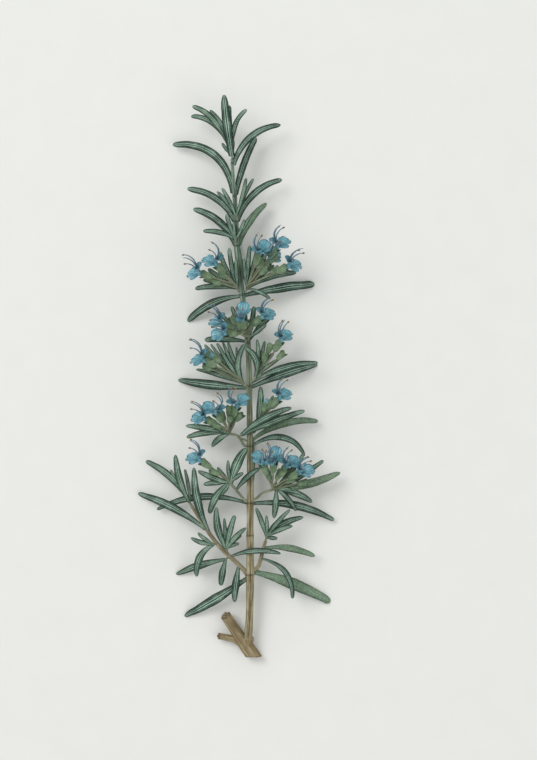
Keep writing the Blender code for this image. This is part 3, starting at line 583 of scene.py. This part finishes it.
FILAMENT = plain_finish("filament", shades((56, 82, 96), (88, 118, 134), (132, 160, 170)),
                        1500.0, 0.5, 0.0001)
ANTHER = plain_finish("anther", shades((70, 50, 24), (124, 98, 54), (178, 150, 92)), 2400.0, 0.7, 0.0002)
FLOOR = plain_finish("floor", [(0.0, paint(231, 232, 228)), (1.0, paint(234, 235, 231))], 60.0, 0.9, 0.00005)


# ---- Geometry Nodes trees ----

def new_tree(name, inputs):
    """A tree with a geometry input, the named inputs and a geometry output, and a wire for each input."""
    tree = bpy.data.node_groups.new(name, "GeometryNodeTree")
    tree.interface.new_socket("Geometry", in_out="INPUT", socket_type="NodeSocketGeometry")
    for label, kind in inputs.items():
        tree.interface.new_socket(label, in_out="INPUT", socket_type=f"NodeSocket{kind}")
    tree.interface.new_socket("Geometry", in_out="OUTPUT", socket_type="NodeSocketGeometry")
    wire = Wire(tree)
    given = wire.node("NodeGroupInput")
    return wire, {label: given.out(label) for label in ("Geometry", *inputs)}


def end_tree(wire, geometry, material):
    """Every tree ends the same way: shaded smooth, made real, with its material."""
    smooth = wire.node("GeometryNodeSetShadeSmooth", {"Geometry": geometry})
    real = wire.node("GeometryNodeRealizeInstances", {"Geometry": smooth})
    coated = wire.node("GeometryNodeSetMaterial", {"Geometry": real, "Material": material})
    wire.node("NodeGroupOutput", {"Geometry": coated})
    return wire.tree


def moved(wire, geometry, **way):
    """The geometry at a new Position, or moved by an Offset."""
    return wire.node("GeometryNodeSetPosition", {"Geometry": geometry, **way})


def unit_circle(wire, sides):
    """The outline that a stem's or leaf's cross-section starts from."""
    return wire.node("GeometryNodeCurvePrimitiveCircle", {"Resolution": sides, "Radius": 1.0}, mode="RADIUS")


def seeded_noise(wire, place, seed, scale, detail):
    inputs = {"Vector": place, "W": seed, "Scale": scale, "Detail": detail}
    return wire.node("ShaderNodeTexNoise", inputs, noise_dimensions="4D")


def stored(wire, geometry, name, value):
    inputs = {"Geometry": geometry, "Name": name, "Value": value}
    return wire.node("GeometryNodeStoreNamedAttribute", inputs, data_type="FLOAT", domain="POINT")


def named(wire, name):
    return wire.node("GeometryNodeInputNamedAttribute", {"Name": name}, data_type="FLOAT").out("Attribute")


def blade_tree():
    """A linear leaf on one bow: crowned each side of a midrib groove, margins rolled under, with a keel."""
    sides = 32
    wire, given = new_tree("leaf_blade", {
        "Base": "Vector", "Middle": "Vector", "Tip": "Vector", "Width": "Float", "Roll": "Float",
        "Steps": "Int", "Ridges": "Float", "Ridge Height": "Float", "Foot": "Float", "Blunt": "Float",
        "Taper": "Float", "Hook": "Vector", "Seed": "Float", "Material": "Material"})
    line = wire.node("GeometryNodeCurveQuadraticBezier", {
        "Resolution": given["Steps"], "Start": given["Base"], "Middle": given["Middle"], "End": given["Tip"]})
    length = wire.node("GeometryNodeCurveLength", {"Curve": line})
    line = stored(wire, line, "along", wire.node("GeometryNodeSplineParameter").out("Factor"))
    t = named(wire, "along")
    curl = ((t - 0.68) / 0.32).clamp()
    line = moved(wire, line, Offset=given["Hook"].scaled(curl * curl))
    line = wire.node("GeometryNodeSetCurveNormal", {"Curve": line}, mode="Z_UP")
    line = wire.node("GeometryNodeSetCurveTilt", {"Curve": line, "Tilt": given["Roll"] + math.pi})
    swell = (t / 0.54).clamp()
    swell = swell * swell * (3 - 2 * swell)
    taper = ((t - 0.45) / 0.55).clamp()
    cap = given["Width"] * given["Blunt"] / length
    into_cap = ((t - 1 + cap) / cap).clamp()
    round_tip = wire.math("SQRT", (1 - into_cap * into_cap).clamp())
    round_base = wire.math("SQRT", (t / 0.012).clamp())
    half = (given["Width"] / 2) * (given["Foot"] + (1 - given["Foot"]) * swell)
    half = half * (1 - given["Taper"] * taper * taper) * round_tip * round_base

    circle = unit_circle(wire, sides)
    angle = wire.node("GeometryNodeInputIndex") * (2 * math.pi / sides)
    side = wire.math("COSINE", angle)
    above = wire.math("GREATER_THAN", wire.math("SINE", angle), 0.001)
    circle = stored(wire, circle, "across", side)
    circle = stored(wire, circle, "upper", above)
    side = named(wire, "across")
    above = named(wire, "upper")
    square = side * side
    groove = math.e ** (square / -0.035)
    crown = 0.27 * wire.math("SQRT", (1 - square * square).clamp()) - 0.16 * groove - 0.06 * square
    rolled = abs(side) - 0.84
    belly = -0.27 * math.e ** (rolled * rolled / -0.0169) - 0.16 * math.e ** (square / -0.02)
    rise = above * crown + (1 - above) * belly
    shape = wire.node("ShaderNodeCombineXYZ", {"X": side, "Y": rise, "Z": 0.0})
    circle = moved(wire, circle, Position=shape)

    skin = wire.node("GeometryNodeCurveToMesh", {"Curve": line, "Profile Curve": circle, "Scale": half})
    out = abs(named(wire, "across"))
    between = (hump(out, 0.52, 0.4) * 1.8).clamp()
    place = wire.node("GeometryNodeInputPosition")
    uneven = seeded_noise(wire, place, given["Seed"], 330.0, 2.0).out("Fac")
    phase = named(wire, "along") * given["Ridges"] + out * 0.35 + uneven * 3.0
    wave = wire.math("SINE", phase * (2 * math.pi))
    skin = stored(wire, skin, "ridge", wave * 0.5 + 0.5)
    ends = (named(wire, "along") * 50).clamp() * ((1 - named(wire, "along")) * 50).clamp()
    lift = (named(wire, "ridge") - 0.5) * ends * between * given["Ridge Height"] * named(wire, "upper")
    skin = moved(wire, skin, Offset=wire.node("GeometryNodeInputNormal").out("Normal").scaled(lift))
    wobble = seeded_noise(wire, place, given["Seed"], 130.0, 2.0)
    off_middle = {"Vector": wobble.out("Color"), "Vector_001": (0.5, 0.5, 0.5)}
    centred = wire.node("ShaderNodeVectorMath", off_middle, operation="SUBTRACT")
    skin = moved(wire, skin, Offset=centred.scaled(given["Width"] * 0.2 * named(wire, "along")))
    skin = wire.node("GeometryNodeMergeByDistance", {"Geometry": skin, "Distance": 0.000004})
    return end_tree(wire, skin, given["Material"])


def rod_tree():
    """A round or ribbed rod along a path whose points carry its radius: stems, stalks and filaments."""
    wire, given = new_tree("rod", {
        "Sides": "Int", "Ribs": "Float", "Rib Depth": "Float", "Bark": "Float", "Bark Scale": "Float",
        "Seed": "Float", "Material": "Material"})
    line = wire.node("GeometryNodeMeshToCurve", {"Mesh": given["Geometry"]}, mode="EDGES")
    line = stored(wire, line, "along", wire.node("GeometryNodeSplineParameter").out("Factor"))
    turn = wire.node("GeometryNodeInputIndex") / given["Sides"]
    circle = stored(wire, unit_circle(wire, given["Sides"]), "around", turn)
    wave = wire.math("COSINE", named(wire, "around") * given["Ribs"] * (2 * math.pi))
    rib = 1 - given["Rib Depth"] * (0.5 + 0.5 * wave)
    circle = moved(wire, circle, Position=wire.node("GeometryNodeInputPosition").scaled(rib))
    skin = wire.node("GeometryNodeCurveToMesh", {
        "Curve": line, "Profile Curve": circle, "Scale": named(wire, "radius"), "Fill Caps": True})
    stretched = {"Vector": wire.node("GeometryNodeInputPosition"), "Vector_001": (1.0, 0.3, 1.0)}
    place = wire.node("ShaderNodeVectorMath", stretched, operation="MULTIPLY")
    rough = seeded_noise(wire, place, given["Seed"], given["Bark Scale"], 4.0).out("Fac")
    lift = (rough - 0.5) * given["Bark"] * named(wire, "radius")
    skin = moved(wire, skin, Offset=wire.node("GeometryNodeInputNormal").out("Normal").scaled(lift))
    return end_tree(wire, skin, given["Material"])


def real_mesh(made):
    """The object's finished mesh, with its modifiers applied. The object is removed."""
    graph = bpy.context.evaluated_depsgraph_get()
    mesh = bpy.data.meshes.new_from_object(made.evaluated_get(graph))
    bpy.data.objects.remove(made)
    return mesh


def grown(tree, start=None, **values):
    """The mesh that a tree makes from a starting mesh and its inputs, given by their names."""
    made = bpy.data.objects.new("work", start or bpy.data.meshes.new("work"))
    bpy.context.scene.collection.objects.link(made)
    modifier = made.modifiers.new("grow", "NODES")
    modifier.node_group = tree
    for socket in tree.interface.items_tree:
        key = socket.name.replace(" ", "_").lower()
        if socket.in_out == "INPUT" and key in values:
            modifier[socket.identifier] = values[key]
    return real_mesh(made)


def solid(mesh, thickness, levels):
    """A sheet given a thickness and smoothed."""
    made = bpy.data.objects.new("work", mesh)
    bpy.context.scene.collection.objects.link(made)
    wall = made.modifiers.new("wall", "SOLIDIFY")
    wall.thickness = thickness
    wall.offset = 0.0
    if levels:
        soft = made.modifiers.new("soft", "SUBSURF")
        soft.levels = soft.render_levels = levels
    return real_mesh(made)


def piece(name, meshes, material, slot, *nodes):
    """One finished piece from its meshes: it rides on the sprig and stands for its CAD nodes."""
    work = bmesh.new()
    for mesh in meshes:
        work.from_mesh(mesh)
        bpy.data.meshes.remove(mesh)
    whole = bpy.data.meshes.new(name)
    work.to_mesh(whole)
    work.free()
    whole.materials.clear()
    whole.materials.append(material)
    whole.polygons.foreach_set("material_index", [0] * len(whole.polygons))
    whole.shade_smooth()
    made = bpy.data.objects.new(name, whole)
    bpy.context.scene.collection.objects.link(made)
    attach(made, "root")
    if nodes:
        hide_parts(*nodes)
    return made


def at(point):
    return (Vector(point) + SHIFT) * MM


# ---- Leaves and stems ----

def rooted(base, tip, axes):
    """Where a leaf or stalk leaves the wood: just inside the stem, shoot or stalk nearest behind its base."""
    base, tip = Vector(base), Vector(tip)
    behind = base - 1.5 * (tip - base).normalized()
    axis, radius = min(axes, key=lambda row: (row[0] - behind).length)
    gap = base - axis
    if gap.length > ROOT_REACH:
        return base
    return axis + gap.normalized() * radius * 0.5


def leaf_mesh(base, tip, side, rise, width, roll=0, foot=LEAF_FOOT, hook=0.0):
    base, tip = Vector(base), Vector(tip)
    run = tip - base
    left = Vector((-run.y, run.x, 0)).normalized()
    middle = (base + tip) / 2 + 2 * side * left + Vector((0, 0, 2 * rise))
    pointed = base.y < POINTED_BELOW
    blunt = draw.uniform(0.6, 0.95) * (0.7 if pointed else 1.0)
    taper = draw.uniform(0.26, 0.44) + (0.2 if pointed else 0.0)
    return grown(BLADE, base=at(base), middle=at(middle), tip=at(tip), width=width * MM,
                 roll=math.radians(roll), steps=int(min(150, max(30, run.length * LEAF_ROWS))),
                 ridges=run.length / RIDGE_SPACING, ridge_height=RIDGE_HEIGHT * MM, foot=foot, blunt=blunt,
                 taper=taper, hook=left * hook * MM, seed=draw.uniform(0, 50), material=LEAF)


def smooth(rows, steps):
    """Points and radii read from a smooth curve through rows of (point, radius)."""
    points, radii = [], []
    last = len(rows) - 1
    for i in range(last):
        a, b, c, d = (rows[max(0, min(last, i + k))] for k in (-1, 0, 1, 2))
        for step in range(steps):
            t = step / steps
            weights = (
                -t / 2 + t * t - t ** 3 / 2,
                1 - 2.5 * t * t + 1.5 * t ** 3,
                t / 2 + 2 * t * t - 1.5 * t ** 3,
                (t ** 3 - t * t) / 2,
            )
            points.append(sum((w * Vector(row[0]) for w, row in zip(weights, (a, b, c, d))), Vector()))
            radii.append(sum(w * row[1] for w, row in zip(weights, (a, b, c, d))))
    points.append(Vector(rows[-1][0]))
    radii.append(rows[-1][1])
    return points, radii


def mark(mesh, **attributes):
    """Gives each point of a mesh one value for each attribute."""
    for name, values in attributes.items():
        mesh.attributes.new(name, "FLOAT", "POINT").data.foreach_set("value", values)


def path(points, radii, rings=None):
    """A chain of edges whose points carry a radius, and how much of a ring scar there is."""
    mesh = bpy.data.meshes.new("path")
    count = len(points)
    mesh.from_pydata([at(point) for point in points], [(i, i + 1) for i in range(count - 1)], [])
    mark(mesh, radius=[radius * MM for radius in radii], ring=rings or [0.0] * count)
    return mesh


def rod_mesh(points, radii, material, sides=12, rings=None, ribs=0.0, rib_depth=0.0, bark=0.0,
             bark_scale=400.0):
    return grown(ROD, path(points, radii, rings), sides=sides, ribs=ribs, rib_depth=rib_depth, bark=bark,
                 bark_scale=bark_scale, seed=draw.uniform(0, 50), material=material)


def main_stem():
    points, radii = smooth([STEM_FOOT, *MAIN_STEM], 40)
    rings = []
    for i, point in enumerate(points):
        near = max(math.exp(-((point.y - joint) / SCAR) ** 2) for joint in JOINTS)
        swell = max(math.exp(-((point.y - joint) / SWELLING) ** 2) for joint in JOINTS)
        rings.append(near)
        radii[i] *= 1 + 0.14 * swell - 0.07 * near
    return rod_mesh(points, radii, STEM, 32, rings, ribs=4.0, rib_depth=0.11, bark=0.1, bark_scale=500.0)


def saw_off(mesh, place, way):
    """Cuts everything off the mesh that is past the place in the given way, and closes the cut."""
    work = bmesh.new()
    work.from_mesh(mesh)
    everything = work.verts[:] + work.edges[:] + work.faces[:]
    cut = bmesh.ops.bisect_plane(work, geom=everything, plane_co=place, plane_no=way, clear_outer=True)
    rim = [item for item in cut["geom_cut"] if isinstance(item, bmesh.types.BMEdge)]
    bmesh.ops.contextual_create(work, geom=rim)
    bmesh.ops.recalc_face_normals(work, faces=work.faces)
    work.to_mesh(mesh)
    work.free()


def end_disc(centre, way, radius, hollow, stretch=1.0):
    """The wood seen at a cut or snapped end, with a rim that is ragged where it snapped."""
    centre, way = Vector(centre), Vector(way).normalized()
    side = way.cross(Vector((0, 0, 1))).normalized() * stretch
    other = side.cross(way).normalized()
    rounds, steps = 9, 40
    verts, away, faces = [centre - hollow * 0.5 * way], [0.0], []
    for ring in range(1, rounds + 1):
        share = ring / rounds
        for step in range(steps):
            angle = 2 * math.pi * step / steps
            ragged = draw.uniform(-0.5, 0.5) * hollow * share + hollow * 0.25 * math.sin(3 * angle) * share
            spot = radius * share * (math.cos(angle) * side + math.sin(angle) * other)
            verts.append(centre + spot + ragged * way + 0.1 * way)
            away.append(share)
    for step in range(steps):
        after = (step + 1) % steps
        faces.append((0, 1 + step, 1 + after))
        for ring in range(rounds - 1):
            a, b = 1 + ring * steps, 1 + (ring + 1) * steps
            faces.append((a + step, b + step, b + after, a + after))
    mesh = bpy.data.meshes.new("end")
    mesh.from_pydata([at(vert) for vert in verts], [], faces)
    mark(mesh, away=away)
    return solid(mesh, 0.25 * MM, 0)


# ---- Flowers ----

def sheet_mesh(points, along, across, rows, columns, closed, frame_of, thickness):
    """A grid of points in a flower's own frame as a sheet with a thickness."""
    faces = []
    for i in range(rows - 1):
        for j in range(columns if closed else columns - 1):
            after = (j + 1) % columns
            row, above = i * columns, (i + 1) * columns
            faces.append((row + j, row + after, above + after, above + j))
    mesh = bpy.data.meshes.new("sheet")
    mesh.from_pydata([at(frame_of @ Vector(point)) for point in points], [], faces)
    mark(mesh, along=along, across=across)
    return solid(mesh, thickness * MM, levels=1)


def turned(frame_of, profile, shape, ribs, rib_depth, thickness, columns=40, stretch=1.0):
    """A tube round the flower's axis. shape(angle) moves its mouth along the axis, as teeth do."""
    points, along, across = [], [], []
    rows = len(profile)
    for i, (x, radius) in enumerate(profile):
        share = i / (rows - 1)
        for j in range(columns):
            angle = 2 * math.pi * j / columns
            push, flare = shape(angle, share)
            ribbed = radius * (1 + rib_depth * math.cos(ribs * angle)) + flare
            points.append((x + push, ribbed * math.cos(angle), stretch * ribbed * math.sin(angle)))
            along.append(share * 0.8)
            across.append(0.45 + 0.35 * math.cos(ribs * angle))
    return sheet_mesh(points, along, across, rows, columns, True, frame_of, thickness)


def lobe(frame_of, start, middle, end, width, cup, frill, slant=0.0, twist=0.0, claw=0.4, notch=0.0, rows=13,
         columns=11):
    """One petal lobe on a bow from the throat, spooned by cup and crumpled at its rim by frill."""
    start, middle, end = Vector(start), Vector(middle), Vector(end)
    phase = draw.uniform(0, 6)
    points, along, across = [], [], []
    sideways = Vector((math.sin(twist), math.cos(twist) * math.cos(slant), math.cos(twist) * math.sin(slant)))
    for i in range(rows):
        u = i / (rows - 1)
        centre = (1 - u) ** 2 * start + 2 * u * (1 - u) * middle + u * u * end
        way = (2 * (1 - u) * (middle - start) + 2 * u * (end - middle)).normalized()
        level = (sideways - sideways.dot(way) * way).normalized()
        normal = way.cross(level)
        swell = claw + (1 - claw) * math.sin(math.pi * min(1.0, u / 0.62) / 2) ** 1.6
        tip = 1.0 if u < 0.62 else math.sqrt(max(0.03, 1 - ((u - 0.62) / 0.385) ** 2))
        for j in range(columns):
            v = 2 * j / (columns - 1) - 1
            rim = frill * (u ** 3 + abs(v) ** 3 * u) * math.sin(7 * v + 9 * u + phase)
            drop = notch * (1 - abs(v)) ** 2 * u ** 4
            bend = cup * (v * v - 0.4) * swell * tip * math.sin(math.pi * min(1, u + 0.15))
            points.append(centre + v * width / 2 * swell * tip * level + (bend + rim) * normal - drop * way)
            along.append(u)
            across.append(v)
    return sheet_mesh(points, along, across, rows, columns, False, frame_of, LOBE_WALL)


def flower_frame(foot, throat, face):
    """The flower's own frame: X out of its throat, and Z towards its upper lip, face degrees above level."""
    foot, throat = Vector(foot), Vector(throat)
    way = (throat - foot).normalized()
    up = Vector((0, math.cos(math.radians(face)), math.sin(math.radians(face))))
    up = (up - up.dot(way) * way).normalized()
    left = up.cross(way)
    turn = Matrix((way, left, up)).transposed().to_4x4()
    return Matrix.Translation(throat) @ turn


def calyx_mesh(frame_of):
    """A ribbed bell with one broad upper tooth and two lower ones."""
    def teeth(angle, share):
        upper = max(0.0, math.sin(angle)) ** 3
        lower = sum(max(0.0, math.cos(angle + math.pi / 2 + apart)) ** 6 for apart in (-0.65, 0.65))
        reach = 1.5 * upper + 1.7 * lower - 0.5
        return reach * share ** 3, 0.35 * share ** 5 * (upper + lower)
    profile = [(-7.6, 0.35), (-7.4, 0.85), (-6.8, 1.25), (-5.8, 1.6), (-4.6, 1.72), (-3.5, 1.78),
               (-2.7, 1.92), (-2.0, 2.2)]
    return turned(frame_of, profile, teeth, 13, 0.07, CALYX_WALL, stretch=0.9)


def corolla_meshes(frame_of):
    """The tube, two upright upper lobes, two side lobes and the large spooned lower lobe."""
    def flat(angle, share):
        return -0.2 * share * math.sin(angle), 0.0
    profile = [(-4.6, 0.8), (-3.0, 0.9), (-1.6, 1.1), (-0.6, 1.4), (0.3, 1.75)]
    lobes = [turned(frame_of, profile, flat, 6, 0.03, TUBE_WALL, 24)]
    for side in (-1, 1):
        lobes.append(lobe(frame_of, (-0.3, 0.45 * side, 1.2), (2.3, 0.6 * side, 3.0), (0.2, 1.9 * side, 7.0),
                          3.0, -0.5, 0.16, twist=0.85 * side, claw=0.6))
        lobes.append(lobe(frame_of, (-0.1, 1.1 * side, -0.6), (1.8, 2.4 * side, -0.6),
                          (3.0, 3.9 * side, -2.2), 2.2, 0.4, 0.2, slant=-0.7 * side, claw=0.5))
    lobes.append(lobe(frame_of, (-0.2, 0.0, -1.1), (4.0, 0.0, -0.9), (5.0, 0.0, -4.9), 6.4, 1.3, 0.3,
                      claw=0.28, notch=0.5))
    return lobes


def bend_points(frame_of, rows, steps=7):
    points, radii = smooth(rows, steps)
    return [frame_of @ point for point in points], radii


def stamen_meshes(frame_of):
    """Two long stamens and the style arch out along the upper lip and curl forwards."""
    filaments, anthers = [], []
    for side, reach in ((-1, 1.0), (1, 0.86), (0, 1.12)):
        lift = reach * draw.uniform(0.93, 1.07)
        rows = [((-1.0, 0.4 * side, 0.5), 0.3), ((1.6, 0.55 * side, 2.2), 0.38),
                ((2.2 * lift, 0.9 * side, 5.2 * lift), 0.36), ((4.4 * lift, 1.3 * side, 8.3 * lift), 0.32),
                ((7.2 * lift, 1.6 * side, 9.2 * lift), 0.25),
                ((9.0 * lift, 1.7 * side, 8.3 * lift), 0.2 if side else 0.1)]
        points, radii = bend_points(frame_of, rows)
        filaments.append(rod_mesh(points, radii, FILAMENT, 8))
        if side:
            end = points[-1]
            way = (points[-1] - points[-3]).normalized()
            pods = [end + way * step for step in (-0.5, -0.3, 0.0, 0.4, 0.8, 1.0)]
            widths = [0.12, 0.34, 0.44, 0.42, 0.28, 0.08]
            anthers.append(rod_mesh(pods, widths, ANTHER, 10, bark=0.5, bark_scale=1500.0))
    return filaments, anthers


def bud_mesh(frame_of):
    """A petal bud that fills the mouth of its calyx."""
    def plain(angle, share):
        return 0.0, 0.0
    profile = [(-5.0, 0.7), (-3.6, 1.2), (-2.2, 1.5), (-1.0, 1.6), (0.0, 1.4), (0.7, 0.9), (1.0, 0.25)]
    return turned(frame_of, profile, plain, 5, 0.05, TUBE_WALL, 20)


def add_stalk(rows, steps, sides=10, slim=1.0):
    points, radii = smooth(rows, steps)
    STALKS.append(rod_mesh(points, [slim * radius for radius in radii], STALK, sides, bark=0.1))


def flower_group(name, foot, flowers):
    calyces, corollas, filaments, anthers = [], [], [], []
    foot = Vector(foot)
    for mouth, face, budded in LOOSE_CALYCES.get(name, ()):
        place = flower_frame(foot, mouth, face) @ Matrix.Translation((LOOSE_PUSH, 0, 0))
        place = place @ Matrix.Scale(LOOSE_SIZE, 4)
        joint = place @ CALYX_FOOT
        add_stalk([(rooted(foot, joint, AXES), 0.5), (joint, 0.4)], 8)
        calyces.append(calyx_mesh(place))
        if budded:
            corollas.append(bud_mesh(place))
    for throat, face in flowers:
        place = flower_frame(foot, throat, face)
        joint = place @ CALYX_FOOT
        bend = (foot + joint) / 2 + Vector((0, 0, -0.6))
        add_stalk([(rooted(foot, joint, AXES), 0.6), (foot, 0.5), (bend, 0.4), (joint, 0.45)], 6)
        calyces.append(calyx_mesh(place))
        corollas.extend(corolla_meshes(place))
        thread, pods = stamen_meshes(place)
        filaments.extend(thread)
        anthers.extend(pods)
    piece(f"{name}_calyces", calyces, CALYX, "leaf")
    piece(f"{name}_petals", corollas, PETAL, "petal", name)
    piece(f"{name}_filaments", filaments, FILAMENT, "petal")
    piece(f"{name}_anthers", anthers, ANTHER, "petal")


# ---- The sprig ----

draw = random.Random(SEED)
BLADE = blade_tree()
ROD = rod_tree()
STALKS = []
STEM_AXIS = list(zip(*smooth(MAIN_STEM, 12)))
WOOD = STEM_AXIS + [row for rows in SHOOTS.values() for row in zip(*smooth(rows, 12))]
AXES = WOOD + [(Vector(point), radius) for stalk, leaves in TUFTS.values() for point, radius in stalk]

piece("main_stem_bark", [main_stem()], STEM, "wood", "main_stem")
for heel_name, rows in OLD_WOOD.items():
    points, radii = smooth(rows, 22)
    bark = rod_mesh(points, radii, OLD_BARK, 44, bark=0.16, bark_scale=300.0)
    for wood, place, way, *_ in OLD_ENDS:
        if wood == heel_name:
            saw_off(bark, at(place), Vector(way))
    piece(heel_name, [bark], OLD_BARK, "wood")
piece("heel_ends", [end_disc(*end) for _, *end in OLD_ENDS], CUT_WOOD, "wood")
for shoot, rows in SHOOTS.items():
    start = Vector(rows[0][0])
    behind = start + 0.6 * (start - Vector(rows[1][0]))
    joint = min((point for point, radius in STEM_AXIS), key=lambda point: (point - behind).length)
    points, radii = smooth([(joint, rows[0][1]), *rows], 18)
    piece(f"{shoot}_bark", [rod_mesh(points, radii, GREEN_STEM, 20, ribs=4.0, rib_depth=0.1, bark=0.08)],
          GREEN_STEM, "green_stem", shoot)
for leaf_name, (base, tip, *bow) in LEAVES.items():
    foot = CLASPING_FOOT if base[1] > CLASPING_FROM else LEAF_FOOT
    blade = leaf_mesh(rooted(base, tip, AXES), tip, *bow, foot=foot, hook=HOOKS.get(leaf_name, 0.0))
    piece(f"{leaf_name}_blade", [blade], LEAF, "leaf", leaf_name)
for tuft_name, (stalk, rows) in TUFTS.items():
    end = Vector(stalk[-1][0])
    way = (end - Vector(stalk[-2][0])).normalized()
    add_stalk([(rooted(stalk[0][0], stalk[1][0], WOOD), stalk[0][1]), *stalk], 5, 12, STALK_SLIM)
    parts = []
    hooks = TUFT_HOOKS.get(tuft_name, [0.0] * len(rows))
    for number, row in enumerate(rows):
        parts.append(leaf_mesh(end - number * LEAF_SPACING * way, *row, hook=hooks[number]))
    for tip, *bow in EXTRA_LEAVES.get(tuft_name, ()):
        parts.append(leaf_mesh(end, tip, *bow, foot=SMALL_FOOT))
    piece(f"{tuft_name}_leaves", parts, YOUNG_LEAF, "leaf", tuft_name)
for group_name, (foot, flowers) in FLOWERS.items():
    flower_group(group_name, foot, flowers)
piece("axil_stalks", STALKS, STALK, "green_stem")


# ---- Floor, light and camera ----

FLOOR_SIZE = 6.0
FLOOR_DROP = 0.0001
WORLD_LIGHT = 0.62
floor_level = min(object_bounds()[0].z, 0.0) - FLOOR_DROP
bpy.ops.mesh.primitive_grid_add(x_subdivisions=8, y_subdivisions=8, size=FLOOR_SIZE,
                                location=(0, 0, floor_level))
floor = bpy.context.object
floor.name = "floor"
floor.data.materials.append(FLOOR)

scene = bpy.context.scene
scene.view_settings.view_transform = "Standard"
world = bpy.data.worlds.new("studio")
scene.world = world
world.use_nodes = True
sky = world.node_tree.nodes["Background"]
sky.inputs["Color"].default_value = (1.0, 1.0, 1.0, 1.0)
sky.inputs["Strength"].default_value = WORLD_LIGHT


def area_light(name, place, size, power):
    lamp = bpy.data.lights.new(name, "AREA")
    lamp.size = size
    lamp.energy = power
    made = bpy.data.objects.new(name, lamp)
    made.location = place
    made.rotation_mode = "QUATERNION"
    made.rotation_quaternion = (-Vector(place)).to_track_quat("-Z", "Y")
    scene.collection.objects.link(made)


area_light("key_light", (-1.2, 1.0, 2.1), 1.3, 27.0)
area_light("fill_light", (1.5, -0.9, 1.9), 1.7, 10.0)

VIEW_MIDDLE = (14.9 * MM, -0.2 * MM)
VIEW_HEIGHT = 380 * MM
SPRIG_HEIGHT = 14 * MM
LENS = 100.0
SENSOR = 36.0
lens = bpy.data.cameras.new("camera")
lens.lens = LENS
lens.sensor_width = SENSOR
lens.clip_end = 20.0
camera = bpy.data.objects.new("camera", lens)
camera.location = (*VIEW_MIDDLE, SPRIG_HEIGHT + VIEW_HEIGHT * LENS / SENSOR)
scene.collection.objects.link(camera)
scene.camera = camera
